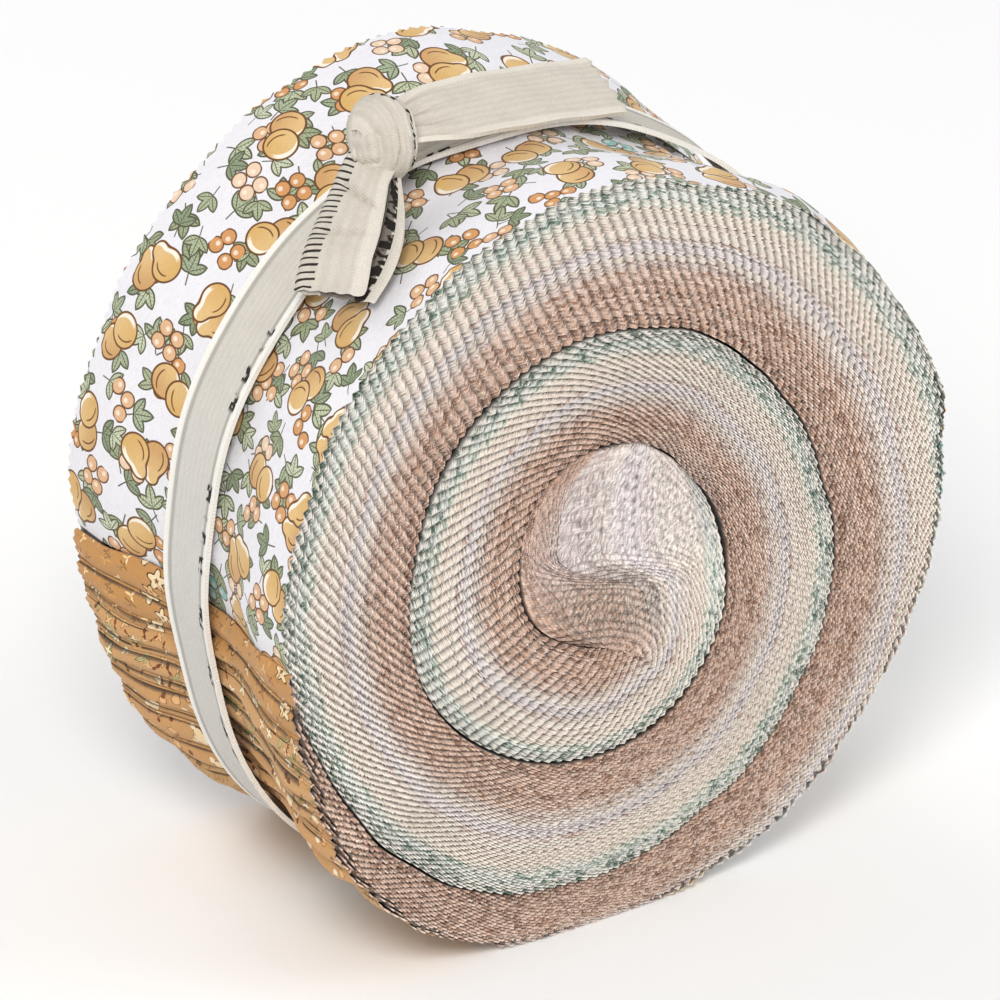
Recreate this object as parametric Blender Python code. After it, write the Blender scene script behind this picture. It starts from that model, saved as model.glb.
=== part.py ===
"""Fabric strip roll: a stack of pinked cotton strips rolled up into a wheel and tied round its tread.

The roll stands on its tread. Its axis lies along Y, its front face looks to -Y and +Z is up.
Turn angles are in degrees, clockwise as seen from the front, from 0 at the right: 90 is the
bottom, 180 the left and 270 the top. They run on past 360, so an angle also says which turn.
Lengths in the tables are in millimetres.
"""
import math

import bmesh
import bpy
from mathutils import Vector

MM = 0.001

# Driving dimensions of the roll, in millimetres unless a name says otherwise.
STRIP_WIDTH = 63.5          # width of a strip, and so of the roll
STACK_THICKNESS = 23.5      # loose thickness of the whole stack in the last turn
FIRST_TURN = -45.0          # where the stack's inner end starts, in degrees
LAST_TURN = 897.0           # where the innermost strips end, in degrees
TURN_STEP = 6.0             # degrees between two sections of the stack
TURN_GAP = 0.4              # air between two turns
CORE_GAP = 0.5              # further air beside the core, where the roll is loose
FACE_DROP = 1.1             # how far a turn's face rounds off towards its two edges
FACE_WAVE = 0.3             # how far the face lies in or out from turn to turn
CORE_BULGE = 3.8            # how far the middle strips push out at the stack's inner end
FLAT_DEPTH = 62.3           # from the axis down to the flat spot that the roll stands on
WAIST_DEPTH = 3.4           # how far the tie pulls the tread in
WAIST_FLAT = 7.2            # half width of the waist's bottom
WAIST_REACH = 17.0          # where the waist ends, from the middle
END_SKEW = 8.0              # degrees by which the strip ends come earlier at the back
BUNCHED = 2.4               # degrees in which a bunch of folded ends steps down
SPREAD = 7.0                # degrees in which ends that are spread out step down

# Driving dimensions of the tie, also in millimetres. Places are measured from the roll's axis.
TAPE_WIDTH = 12.5
TAPE_THICKNESS = 1.0
TAPE_CLEARANCE = 0.4        # air under the tape
TAPE_SECTIONS = 72          # sections of the tape round the tread
TAPE_BRIDGE = 8             # degrees on each side that the taut tape bridges at a step
FOLD_PARTING = 1.5          # how far the hanging tape's two layers part at their open edge
KNOT_PLACE = Vector((-24.5, -0.8, 70.6))
KNOT_RADII = Vector((5.2, 7.4, 6.3))
KNOT_WRAP = 0.14            # share of its size by which the wrap stands over the knot

ROLL_COLOUR = (0.74, 0.66, 0.58)
TAPE_COLOUR = (0.84, 0.82, 0.76)

# Outer edge of the stack as it winds outwards: (turn angle, radius).
OUTER_EDGE = (
    (-45, 15.8), (-15, 17.5), (15, 20.0), (45, 25.2), (75, 30.4), (105, 33.0), (135, 35.0),
    (165, 37.3), (195, 38.6), (225, 40.8), (255, 41.2), (285, 39.2), (315, 36.8), (345, 37.2),
    (375, 41.5), (405, 47.0), (435, 51.6), (465, 54.8), (482, 56.6), (498, 56.0), (525, 58.0),
    (550, 61.8), (575, 63.8), (610, 66.4), (630, 66.0), (655, 62.4), (680, 60.5), (712, 61.5),
)

# Inner edge of the stack in the core, where it folds on itself: (turn angle, x, z).
CORE_EDGE = (
    (-45, -8.0, 19.4), (-30, -13.2, 15.6), (-15, -16.3, 10.9), (0, -17.2, 5.1), (15, -16.3, -1.3),
    (30, -13.4, -6.5), (45, -8.6, -10.2), (60, -4.6, -11.4), (75, 0.4, -8.8), (93, -3.4, -12.4),
    (111, -5.6, -13.1),
)

# Inner edge of the first full turn, wrapped round the core: (turn angle, radius).
CORE_WRAP = (
    (111, 14.2), (128, 14.6), (150, 16.2), (174, 17.6), (196, 19.0), (213, 20.6), (229, 21.7),
    (246, 22.1), (263, 21.7), (289, 19.7), (311, 18.3), (330, 17.6),
)

# Strips by print, from the outside of the stack inwards: (print, share of thickness, end angle,
# length of its step).
PRINT_GROUPS = (
    ("fruit", 0.070, 712, SPREAD), ("green_leaf", 0.065, 722, SPREAD),
    ("green_floral", 0.065, 731, SPREAD), ("cream_floral", 0.065, 740, SPREAD),
    ("pink_dot", 0.065, 751, SPREAD), ("beige", 0.060, 763, SPREAD),
    ("plaid", 0.050, 773, SPREAD), ("lattice", 0.050, 782, SPREAD),
    ("gold_flower", 0.050, 791, SPREAD), ("tan_flower", 0.050, 800, SPREAD),
    ("leaf", 0.050, 828, SPREAD), ("brown_flower", 0.090, 861, BUNCHED),
    ("rust_dot", 0.090, 871, BUNCHED), ("orange_sprig", 0.090, 881, BUNCHED),
    ("dark_floral", 0.090, 897, BUNCHED),
)

# Centre line of the tape that leaves the knot to the right: (length, x, y, z, width, tilt).
RIGHT_TAIL = (
    (0, -19.4, -0.4, 70.0, 8.5, 30), (5, -14.5, -0.1, 69.9, 11.2, 30), (11, -8.5, 0.2, 69.2, 12.5, 29),
    (20, 0.4, 0.4, 68.2, 12.5, 28), (29, 9.2, 0.6, 66.8, 12.5, 28), (38.5, 18.4, 0.6, 65.1, 12.5, 28),
)

# Centre line of the folded tape that hangs over the front: (length, x, y, z, half width).
HANGING_TAIL = (
    (0, -27.0, -8.4, 69.8, 3.2), (7, -31.9, -11.4, 65.9, 4.6), (14, -36.9, -13.6, 61.2, 5.6),
    (21, -41.8, -15.3, 56.2, 6.2), (27, -45.6, -16.2, 51.6, 6.0),
)

# Shares of the stack's thickness at which its face has points, and the levels along the axis.
ACROSS = (0.0, 0.06, 0.28, 0.5, 0.72, 0.94, 1.0)
LEVELS = (-WAIST_REACH, -11.5, -WAIST_FLAT, WAIST_FLAT, 11.5, WAIST_REACH)


def smooth_step(low, high, value):
    share = min(1.0, max(0.0, (value - low) / (high - low)))
    return share * share * (3.0 - 2.0 * share)


def slope_at(rows, i, column):
    first, last = max(0, i - 1), min(len(rows) - 1, i + 1)
    return (rows[last][column] - rows[first][column]) / (rows[last][0] - rows[first][0])


def read_table(rows, value, column=1):
    """A smooth curve through a table's rows, read at one value of its first column."""
    value = min(rows[-1][0], max(rows[0][0], value))
    i = next(k for k in range(len(rows) - 1) if value <= rows[k + 1][0])
    span = rows[i + 1][0] - rows[i][0]
    s = (value - rows[i][0]) / span
    start, end = slope_at(rows, i, column) * span, slope_at(rows, i + 1, column) * span
    return ((2 * s**3 - 3 * s**2 + 1) * rows[i][column] + (s**3 - 2 * s**2 + s) * start
            + (3 * s**2 - 2 * s**3) * rows[i + 1][column] + (s**3 - s**2) * end)


def gap_at(turn):
    return TURN_GAP + CORE_GAP * smooth_step(290, 330, turn) * (1 - smooth_step(420, 480, turn))


def waist(turn, y):
    """How far the tie pulls the stack in; it fades out below the last turn."""
    across = 1 - smooth_step(WAIST_FLAT, WAIST_REACH, abs(y))
    return WAIST_DEPTH * across * smooth_step(468, 526, turn)


def end_shift(turn, y):
    """Degrees by which the staggered ends run on the skew."""
    return -END_SKEW * y / STRIP_WIDTH * smooth_step(640, 712, turn)


def share_left(turn):
    """Share of the stack that hasn't ended yet; the last bunch keeps a blunt end."""
    left = 0.0
    for name, share, end, length in PRINT_GROUPS[:-1]:
        left += share * (1 - smooth_step(end - length / 2, end + length / 2, turn))
    last_share = PRINT_GROUPS[-1][1]
    return left + last_share * (1 - 0.45 * smooth_step(LAST_TURN - 6, LAST_TURN, turn))


def outer_radius(turn, y, section=None):
    """Radius of the stack's outer edge. Past the table it is what is left of the stack."""
    table_end = OUTER_EDGE[-1][0]
    section = turn if section is None else section
    table = read_table(OUTER_EDGE, turn)
    if section <= table_end - TURN_STEP:
        return table - waist(turn, y)
    inner = read_table(OUTER_EDGE, turn - 360)
    stack = inner + gap_at(turn) + STACK_THICKNESS * share_left(section)
    blend = smooth_step(table_end - TURN_STEP, table_end + TURN_STEP, section)
    return table + (stack - table) * blend - waist(turn, y)


def on_turn(turn, radius):
    angle = math.radians(turn)
    return Vector((radius * math.cos(angle), -radius * math.sin(angle)))


def inner_point(turn, y):
    if turn < CORE_EDGE[-1][0]:
        return Vector((read_table(CORE_EDGE, turn, 1), read_table(CORE_EDGE, turn, 2)))
    wrap = read_table(CORE_WRAP, turn)
    below = outer_radius(max(FIRST_TURN, turn - 360), y) + gap_at(turn)
    return on_turn(turn, wrap + (below - wrap) * smooth_step(300, 330, turn))


def outer_point(section, y):
    turn = section + end_shift(section, y)
    point = on_turn(turn, outer_radius(turn, y, section))
    point.y = max(point.y, -FLAT_DEPTH)
    return point


def stack_point(section, share, y):
    """A point of the stack in the plane of its turns: share is 0 inside and 1 outside."""
    turn = section + end_shift(section, y)
    point = inner_point(turn, y).lerp(outer_point(section, y), share)
    bulge = CORE_BULGE * 4 * share * (1 - share) * (1 - smooth_step(FIRST_TURN, 0, turn))
    return point + bulge * Vector((0.39, 0.92))


def face_level(section, share):
    """Distance of a turn's face from the middle of the roll: a little crowned and uneven."""
    crown = FACE_DROP * abs(2 * share - 1) ** 3
    slow, quick = math.sin(math.radians(1.7 * section)), math.sin(math.radians(4.1 * section))
    return STRIP_WIDTH / 2 - crown + FACE_WAVE * (slow + 0.65 * quick - 1.65)


def new_object(name, mesh_source, colour, roughness):
    mesh = bpy.data.meshes.new(name)
    bmesh.ops.recalc_face_normals(mesh_source, faces=mesh_source.faces)
    mesh_source.to_mesh(mesh)
    mesh_source.free()
    mesh.shade_smooth()
    mesh.set_sharp_from_angle(angle=math.radians(50))
    obj = bpy.data.objects.new(name, mesh)
    bpy.context.scene.collection.objects.link(obj)
    material = bpy.data.materials.new(name + "_finish")
    material.use_nodes = True
    shader = material.node_tree.nodes["Principled BSDF"]
    shader.inputs["Base Color"].default_value = (*colour, 1)
    shader.inputs["Roughness"].default_value = roughness
    shader.inputs["Metallic"].default_value = 0
    mesh.materials.append(material)
    return obj


def grid_of(columns, rows):
    """A flat bmesh grid whose points carry their column and row number."""
    bm = bmesh.new()
    column = bm.verts.layers.float.new("column")
    row = bm.verts.layers.float.new("row")
    bmesh.ops.create_grid(bm, x_segments=columns - 1, y_segments=rows - 1, size=1)
    for vert in bm.verts:
        vert[column] = round((vert.co.x + 1) / 2 * (columns - 1))
        vert[row] = round((vert.co.y + 1) / 2 * (rows - 1))
    return bm, column, row


def stack_sections():
    """Turn angles of the stack's sections: even steps, and a pair at each bunch of ends."""
    count = round((LAST_TURN - FIRST_TURN) / TURN_STEP)
    steps = [FIRST_TURN + TURN_STEP * i for i in range(count + 1)]
    bunches = [end for _, _, end, length in PRINT_GROUPS[:-1] if length == BUNCHED]
    ends = [end + side * BUNCHED / 2 for end in bunches for side in (-1, 1)]
    spare = [step for step in steps if all(abs(step - end) > TURN_STEP / 4 for end in ends)]
    return sorted(spare + ends)


def make_roll():
    sections = stack_sections()
    bm, column, row = grid_of(len(sections), len(ACROSS))

    def place(verts, y, side):
        for vert in verts:
            section, share = sections[int(vert[column])], ACROSS[int(vert[row])]
            x, z = stack_point(section, share, y)
            level = side * face_level(section, share) if side else y
            vert.co = (x * MM, level * MM, z * MM)

    half = STRIP_WIDTH / 2
    place(bm.verts, -half, -1)
    cap = bm.faces[:]
    for y, side in [(level, 0) for level in LEVELS] + [(half, 1)]:
        grown = bmesh.ops.extrude_face_region(bm, geom=cap)["geom"]
        if y > LEVELS[0]:
            bmesh.ops.delete(bm, geom=cap, context="FACES")
        cap = [part for part in grown if isinstance(part, bmesh.types.BMFace)]
        place({vert for face in cap for vert in face.verts}, y, side)
    return new_object("strip_roll", bm, ROLL_COLOUR, 0.9)


def tape_radius(turn):
    """Inner radius of the tie round the waist: it bridges the small steps of the ends."""
    nearby = [tread_turn(turn + s) for s in range(-TAPE_BRIDGE, TAPE_BRIDGE + 1, 2)]
    return max(outer_radius(t, 0) for t in nearby) + TAPE_CLEARANCE


def tread_turn(angle):
    """The turn angle of the outermost layer at an angle round the roll."""
    low = LAST_TURN - 360
    return low + (angle - low) % 360


def make_band():
    """The tape round the tread: a closed ring that lies in the waist."""
    rows = 3
    bm, column, row = grid_of(TAPE_SECTIONS + 1, rows)
    for vert in bm.verts:
        turn = 360 * vert[column] / TAPE_SECTIONS
        x, z = on_turn(turn, tape_radius(turn))
        z = max(z, TAPE_THICKNESS + 0.3 - FLAT_DEPTH)
        y = TAPE_WIDTH * (vert[row] / (rows - 1) - 0.5)
        vert.co = (x * MM, y * MM, z * MM)
    bmesh.ops.remove_doubles(bm, verts=bm.verts, dist=0.00005)
    band = new_object("tie_band", bm, TAPE_COLOUR, 0.85)
    add_thickness(band)
    return band


def add_thickness(obj):
    solid = obj.modifiers.new("Cloth thickness", "SOLIDIFY")
    solid.thickness = TAPE_THICKNESS * MM
    solid.offset = 1
    solid.use_even_offset = True


def make_knot():
    """The knot: a rounded lump with one wrap of the tape over it, pressed on the band."""
    bm = bmesh.new()
    bmesh.ops.create_icosphere(bm, subdivisions=4, radius=1)
    for vert in bm.verts:
        direction = vert.co.normalized()
        beside_wrap = smooth_step(0.42, 0.62, abs(direction.x + 0.1 * direction.y))
        size = 1 - KNOT_WRAP * beside_wrap
        point = Vector((direction.x * KNOT_RADII.x, direction.y * KNOT_RADII.y,
                        direction.z * KNOT_RADII.z)) * size + KNOT_PLACE
        angle = math.degrees(math.atan2(-point.z, point.x)) % 360
        seat = seat_radius(angle, point.y)
        reach = math.hypot(point.x, point.z)
        if reach < seat:
            point.x *= seat / reach
            point.z *= seat / reach
        vert.co = point * MM
    return new_object("tie_knot", bm, TAPE_COLOUR, 0.85)


def seat_radius(angle, y):
    """Lowest radius that something lying on the waist and the band may reach."""
    over_band = tape_radius(angle) + TAPE_THICKNESS + TAPE_CLEARANCE
    beside = outer_radius(tread_turn(angle), y) + TAPE_CLEARANCE
    return max(over_band if abs(y) < TAPE_WIDTH / 2 + 1 else 0, beside)


def make_right_tail():
    columns, rows = 13, 4
    bm, column, row = grid_of(columns, rows)
    length = RIGHT_TAIL[-1][0]
    for vert in bm.verts:
        s = length * vert[column] / (columns - 1)
        x, y, z, width, tilt = (read_table(RIGHT_TAIL, s, c) for c in (1, 2, 3, 4, 5))
        side = width * (vert[row] / (rows - 1) - 0.5)
        lean = math.radians(tilt)
        vert.co = (x * MM, (y + side * math.cos(lean)) * MM, (z + side * math.sin(lean)) * MM)
    tail = new_object("tie_tail_right", bm, TAPE_COLOUR, 0.85)
    add_thickness(tail)
    return tail


def make_hanging_tail():
    """The other tape end: folded lengthways, with its two layers parted on the right."""
    columns, rows = 11, 9
    bm, column, row = grid_of(columns, rows)
    length = HANGING_TAIL[-1][0]
    for vert in bm.verts:
        s = length * vert[column] / (columns - 1)
        x, y, z, half = (read_table(HANGING_TAIL, s, c) for c in (1, 2, 3, 4))
        ahead = [read_table(HANGING_TAIL, min(length, s + 1), c) for c in (1, 2, 3)]
        behind = [read_table(HANGING_TAIL, max(0, s - 1), c) for c in (1, 2, 3)]
        along = (Vector(ahead) - Vector(behind)).normalized()
        out = Vector((x, 0, z)).normalized()
        out = (out - along * out.dot(along)).normalized()
        side = along.cross(out)
        fold = vert[row] / (rows - 1) * 2 - 1
        width = half * (1 - 2 * abs(fold))
        parted = TAPE_THICKNESS + FOLD_PARTING * abs(fold)
        lift = math.copysign(parted, fold) * min(1.0, abs(fold) * (rows - 1) / 2)
        vert.co = (Vector((x, y, z)) + side * width + out * lift) * MM
    tail = new_object("tie_tail_hanging", bm, TAPE_COLOUR, 0.85)
    add_thickness(tail)
    return tail


def main():
    for obj in list(bpy.data.objects):
        bpy.data.objects.remove(obj)
    pieces = [make_roll(), make_band(), make_knot(), make_right_tail(), make_hanging_tail()]
    roll = pieces[0].data.vertices
    left, right = min(v.co.x for v in roll), max(v.co.x for v in roll)
    for piece in pieces:
        piece.location = (-(left + right) / 2, 0, FLAT_DEPTH * MM)


main()
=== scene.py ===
# The looks of the fabric strip roll: strips with pinked edges, wound up and tied with a tape
import math

import bmesh
import bpy
import numpy as np
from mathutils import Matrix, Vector


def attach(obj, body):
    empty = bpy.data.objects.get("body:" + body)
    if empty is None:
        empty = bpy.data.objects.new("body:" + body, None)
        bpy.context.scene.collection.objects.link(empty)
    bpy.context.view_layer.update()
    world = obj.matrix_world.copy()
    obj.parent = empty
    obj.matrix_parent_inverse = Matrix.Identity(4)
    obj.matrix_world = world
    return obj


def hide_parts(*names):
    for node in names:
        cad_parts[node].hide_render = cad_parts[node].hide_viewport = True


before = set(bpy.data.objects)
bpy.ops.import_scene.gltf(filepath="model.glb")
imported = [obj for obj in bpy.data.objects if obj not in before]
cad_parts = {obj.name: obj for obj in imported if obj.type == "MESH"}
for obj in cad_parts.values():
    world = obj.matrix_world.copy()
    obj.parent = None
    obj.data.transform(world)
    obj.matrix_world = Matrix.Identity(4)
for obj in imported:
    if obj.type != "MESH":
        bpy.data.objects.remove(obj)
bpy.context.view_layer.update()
mm = 0.001

# the view, as in the photograph
view = {
    "azimuth": -33.4, "elevation": 28.5,
    "aim": (-0.0218, -0.0310, 0.0803),   # point of the front face in the middle of the picture
    "across": 0.1527,                    # width of the picture at that point
    "lens": 600.0, "sensor": 36.0,
}


def makeCamera():
    side, up = math.radians(view["azimuth"]), math.radians(view["elevation"])
    back = Vector((math.sin(side) * math.cos(up), -math.cos(side) * math.cos(up), math.sin(up)))
    lens = bpy.data.cameras.new("Camera")
    lens.lens = view["lens"]
    lens.sensor_width = view["sensor"]
    camera = bpy.data.objects.new("Camera", lens)
    bpy.context.scene.collection.objects.link(camera)
    distance = view["across"] * view["lens"] / view["sensor"]
    camera.location = Vector(view["aim"]) + back * distance
    camera.rotation_euler = (-back).to_track_quat("-Z", "Y").to_euler()
    lens.clip_start, lens.clip_end = 0.05, 20.0
    bpy.context.scene.camera = camera


def addSoftbox(name, place, size, power, tint):
    lamp = bpy.data.lights.new(name, "AREA")
    lamp.shape, lamp.size, lamp.energy, lamp.color = "SQUARE", size, power, tint
    holder = bpy.data.objects.new(name, lamp)
    bpy.context.scene.collection.objects.link(holder)
    holder.location = place
    holder.visible_camera = False
    holder.rotation_euler = (Vector(studio["aim"]) - Vector(place)).to_track_quat("-Z", "Y").to_euler()


studio = {
    "key": ((-0.75, -0.85, 1.15), 0.55, 15.0, (1.0, 0.985, 0.96)),
    "fill": ((1.1, -0.9, 0.7), 0.9, 6.8, (0.96, 0.98, 1.0)),
    "rim": ((-0.2, 1.1, 0.9), 0.8, 5.0, (1.0, 1.0, 1.0)),
    "sky": (0.93, 0.94, 0.96), "skyStrength": 0.55,
    "floor": (0.92, 0.917, 0.91), "floorRadius": 8.0, "floorRoughness": 0.8,
    "aim": (0, 0, 0.06),                 # what the lamps point at
}


def makeStudio():
    for name in ("key", "fill", "rim"):
        addSoftbox(name + "Light", *studio[name])
    world = bpy.data.worlds.new("Studio")
    world.use_nodes = True
    background = world.node_tree.nodes["Background"]
    background.inputs["Color"].default_value = (*studio["sky"], 1)
    background.inputs["Strength"].default_value = studio["skyStrength"]
    bpy.context.scene.world = world
    bpy.context.scene.view_settings.view_transform = "Standard"
    bm = bmesh.new()
    bmesh.ops.create_circle(bm, cap_ends=True, radius=studio["floorRadius"], segments=64)
    floorMesh = bpy.data.meshes.new("Floor")
    bm.to_mesh(floorMesh)
    bm.free()
    floor = bpy.data.objects.new("Floor", floorMesh)
    bpy.context.scene.collection.objects.link(floor)
    paint, tree, shader = newMaterial("Pale floor")
    shader.inputs["Base Color"].default_value = (*studio["floor"], 1)
    shader.inputs["Roughness"].default_value = studio["floorRoughness"]
    floorMesh.materials.append(paint)


# the roll's form, as in the part's source: millimetres, and turns in degrees
# clockwise from the front, 0 right, 90 bottom, 180 left, 270 top, running on past 360
roll = {
    "stripWidth": 63.5, "stack": 23.5, "firstTurn": -45.0, "tableEnd": 712.0, "lastTurn": 897.0,
    "turnStep": 6.0, "turnGap": 0.4, "coreGap": 0.8, "flatDepth": 62.3,
    "faceDrop": 0.75, "faceWaves": ((0.3, 1.7), (0.195, 4.1)),  # size, and rate round the roll
    "waistDepth": 3.4, "waistFlat": 6.8, "waistReach": 25.0, "waistFrom": (468, 526),
    "endSkew": 1.5, "skewFrom": 640, "wobble": 0.26, "wobbleFrom": (120, 480),
    "waves": ((1.0, 8.8, 0.0), (0.7, 13.7, 1.7), (0.5, 23.9, 0.6)),  # size, rate and start of the wobble
    # degrees that the lines of the last ends stray from straight: tilt and its rate round the roll,
    # then size, reach across the roll and rate round it of the smaller ones
    "swayFrom": (830, 845), "tilt": (0.66, 0.16), "strays": ((0.66, 7.5, 0.23), (0.275, 3.1, 0.41)),
    "bluntEnd": 0.45,          # share of the innermost strip that ends at its stop
    "coreSpread": 0.35,        # how much of the core's room the layers next to the brown ones take
    "outerEdge": (
        (-45, 15.8), (-15, 17.5), (15, 20.0), (45, 25.2), (75, 30.4), (105, 33.0), (135, 35.0),
        (165, 37.3), (195, 38.6), (225, 40.8), (255, 41.2), (285, 39.2), (315, 36.8), (345, 37.2),
        (375, 41.5), (405, 47.0), (435, 51.6), (465, 54.8), (482, 56.6), (498, 56.0), (525, 58.0),
        (550, 61.8), (575, 63.8), (610, 66.4), (630, 66.0), (655, 62.4), (680, 60.5), (712, 61.5)),
    "coreEdge": (
        (-45, -8.3, 20.1), (-30, -13.8, 16.3), (-15, -16.8, 11.2), (0, -17.9, 5.3), (15, -17.3, -1.4),
        (30, -14.6, -7.1), (45, -9.3, -11.0), (60, -4.8, -12.1), (75, 0.4, -8.8), (93, -3.4, -12.7),
        (111, -5.6, -13.3)),
    "coreWrap": (
        (111, 14.2), (128, 14.6), (150, 16.2), (174, 17.6), (196, 19.0), (213, 20.6), (229, 21.7),
        (246, 22.1), (263, 21.7), (289, 19.7), (311, 18.3), (330, 17.6)),
    # turn, and how far from the inner edge the brown prints end and the green ones start there
    "crowding": (
        (-45, 0.16, 0.90), (-8, 0.165, 0.90), (3, 0.20, 0.90), (16, 0.53, 0.895), (30, 0.57, 0.89),
        (45, 0.55, 0.88), (60, 0.49, 0.87), (75, 0.44, 0.86), (110, 0.39, 0.84), (200, 0.37, 0.82),
        (400, 0.35, 0.80), (560, 0.36, 0.80), (630, 0.42, 0.82), (706, 0.36, 0.80), (900, 0.35, 0.80)),
    # share of the stack, and how far its inner end reaches on there towards the turn round it
    "innerEnd": (
        (0.0, 0.3), (0.1, 1.9), (0.2, 3.0), (0.4, 4.6), (0.5, 5.0), (0.6, 4.9), (0.7, 4.4), (0.8, 3.9),
        (0.9, 3.0), (1.0, 1.4)),
    "innerEndWay": (0.39, 0.92),
}

# prints from the outside of the stack inwards, and the turns where their strips end
prints = {
    "fruit": (709, 712, 715), "greenLeaf": (719, 722, 725), "greenFloral": (729.5, 732.5),
    "creamFloral": (737, 740, 743), "pinkDot": (748, 751, 754), "beige": (761.5, 764.5),
    "plaid": (771.5, 774.5), "lattice": (780.5, 783.5), "goldFlower": (789.5, 792.5),
    "tanFlower": (798.5, 801.5), "leaf": (822, 830), "brownFlower": (845, 852.5, 855),
    "rustDot": (861, 866, 867.4, 872.2), "orangeSprig": (874.2, 879, 880.5, 885.3),
    "darkFloral": (887.1, 891.9, 897),
}
stripShare = 1 / sum(len(stops) for stops in prints.values())


def shareOf(*names):  # the share of the stack that these prints take
    return stripShare * sum(len(prints[name]) for name in names)


brownShare = shareOf("brownFlower", "rustDot", "orangeSprig", "darkFloral")
greenShare = 1 - shareOf("fruit", "greenLeaf", "greenFloral")


def smoothStep(low, high, value):
    share = np.clip((value - low) / (high - low), 0.0, 1.0)
    return share * share * (3.0 - 2.0 * share)


def readCurve(rows, value, column=1):
    table = np.array(rows, float)
    at, kept = table[:, 0], table[:, column]
    first = np.maximum(np.arange(len(at)) - 1, 0)
    last = np.minimum(np.arange(len(at)) + 1, len(at) - 1)
    slope = (kept[last] - kept[first]) / (at[last] - at[first])
    value = np.clip(value, at[0], at[-1])
    i = np.clip(np.searchsorted(at, value) - 1, 0, len(at) - 2)
    span = at[i + 1] - at[i]
    s = (value - at[i]) / span
    return ((2 * s**3 - 3 * s**2 + 1) * kept[i] + (s**3 - 2 * s**2 + s) * slope[i] * span
            + (3 * s**2 - 2 * s**3) * kept[i + 1] + (s**3 - s**2) * slope[i + 1] * span)


def gapAt(turn):
    return roll["turnGap"] + roll["coreGap"] * smoothStep(290, 330, turn) * (1 - smoothStep(420, 480, turn))


def waistAt(turn, y):
    across = 1 - smoothStep(roll["waistFlat"], roll["waistReach"], np.abs(y))
    return roll["waistDepth"] * across * smoothStep(*roll["waistFrom"], turn)


def endShift(turn, y):
    across = y / roll["stripWidth"]
    skew = -roll["endSkew"] * across * smoothStep(roll["skewFrom"], roll["tableEnd"], turn)
    tilt, rate = roll["tilt"]
    stray = 2 * across * tilt * np.sin(rate * turn)
    stray = stray + sum(size * np.sin(y / reach + rate * turn) for size, reach, rate in roll["strays"])
    return skew + stray * smoothStep(*roll["swayFrom"], turn)


def shareLeft(turn):  # share of the stack that hasn't ended yet
    left = 0.0
    for stops in prints.values():
        for stop in stops:
            last = roll["bluntEnd"] if stop == roll["lastTurn"] else 1.0
            left = left + stripShare * (1 - last * smoothStep(stop - 1, stop + 1, turn))
    return left


def edgeRadius(turn):  # the wound stack's outer edge, with small waves that every turn hands on to the next
    wave = sum(size * np.sin(np.radians(rate * turn) + start) for size, rate, start in roll["waves"])
    return readCurve(roll["outerEdge"], turn) + roll["wobble"] * smoothStep(*roll["wobbleFrom"], turn) * wave


def outerRadius(turn, y, section):
    table = edgeRadius(turn)
    stack = edgeRadius(turn - 360) + gapAt(turn) + roll["stack"] * shareLeft(section)
    step = roll["turnStep"]
    blend = smoothStep(roll["tableEnd"] - step, roll["tableEnd"] + step, section)
    blend = np.where(section <= roll["tableEnd"] - step, 0.0, blend)
    return table + (stack - table) * blend - waistAt(turn, y)


def onTurn(turn, radius):
    angle = np.radians(turn)
    return np.stack((radius * np.cos(angle), -radius * np.sin(angle)), -1)


def innerPlace(turn, y):
    core = np.stack((readCurve(roll["coreEdge"], turn, 1), readCurve(roll["coreEdge"], turn, 2)), -1)
    wrap = readCurve(roll["coreWrap"], turn)
    lower = np.maximum(roll["firstTurn"], turn - 360)
    below = outerRadius(lower, y, lower) + gapAt(turn)
    around = onTurn(turn, wrap + (below - wrap) * smoothStep(300, 330, turn))
    return np.where((turn < 111)[..., None], core, around)


def stackShare(section, printShare):  # a layer's place between the stack's inner and outer edge
    brown, green = (readCurve(roll["crowding"], section, column) for column in (1, 2))
    low, high = printShare / brownShare, (printShare - greenShare) / (1 - greenShare)
    mid = np.maximum((printShare - brownShare) / (greenShare - brownShare), 0.0)
    mid = mid ** (1 - roll["coreSpread"] * (1 - smoothStep(10, 90, section)))
    place = np.where(low < 1, brown * low, np.where(high < 0, brown + (green - brown) * mid,
                                                    green + (1 - green) * high))
    left = np.where(section > roll["tableEnd"] - 7, shareLeft(section), 1.0)
    return np.minimum(place / left, 1.0)


def stackPlace(section, printShare, y):  # x and z in millimetres from the roll's axis
    section, printShare, y = np.broadcast_arrays(section, printShare, np.asarray(y, float))
    turn = section + endShift(section, y)
    inner = innerPlace(turn, y)
    outer = onTurn(turn, outerRadius(turn, y, section))
    outer[..., 1] = np.maximum(outer[..., 1], -roll["flatDepth"])
    share = stackShare(section, printShare)
    bulge = readCurve(roll["innerEnd"], share) * (1 - smoothStep(roll["firstTurn"], 0, turn))
    return inner + (outer - inner) * share[..., None] + bulge[..., None] * np.array(roll["innerEndWay"])


def faceLevel(section, share):
    crown = roll["faceDrop"] * np.abs(2 * share - 1) ** 3
    wave = sum(size * (np.sin(np.radians(rate * section)) - 1) for size, rate in roll["faceWaves"])
    return roll["stripWidth"] / 2 - crown + wave


def treadTurn(angle):
    low = roll["lastTurn"] - 360
    return low + (angle - low) % 360


def treadRadius(angle, y=0.0):
    turn = treadTurn(np.asarray(angle, float))
    return outerRadius(turn, y, turn)


tape = {
    "width": 12.5, "thickness": 0.6, "clearance": 0.4, "bridge": 12,
    "selvage": 1.1,          # width of the thick woven edge
    "selvageRise": 0.22,
}


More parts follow.
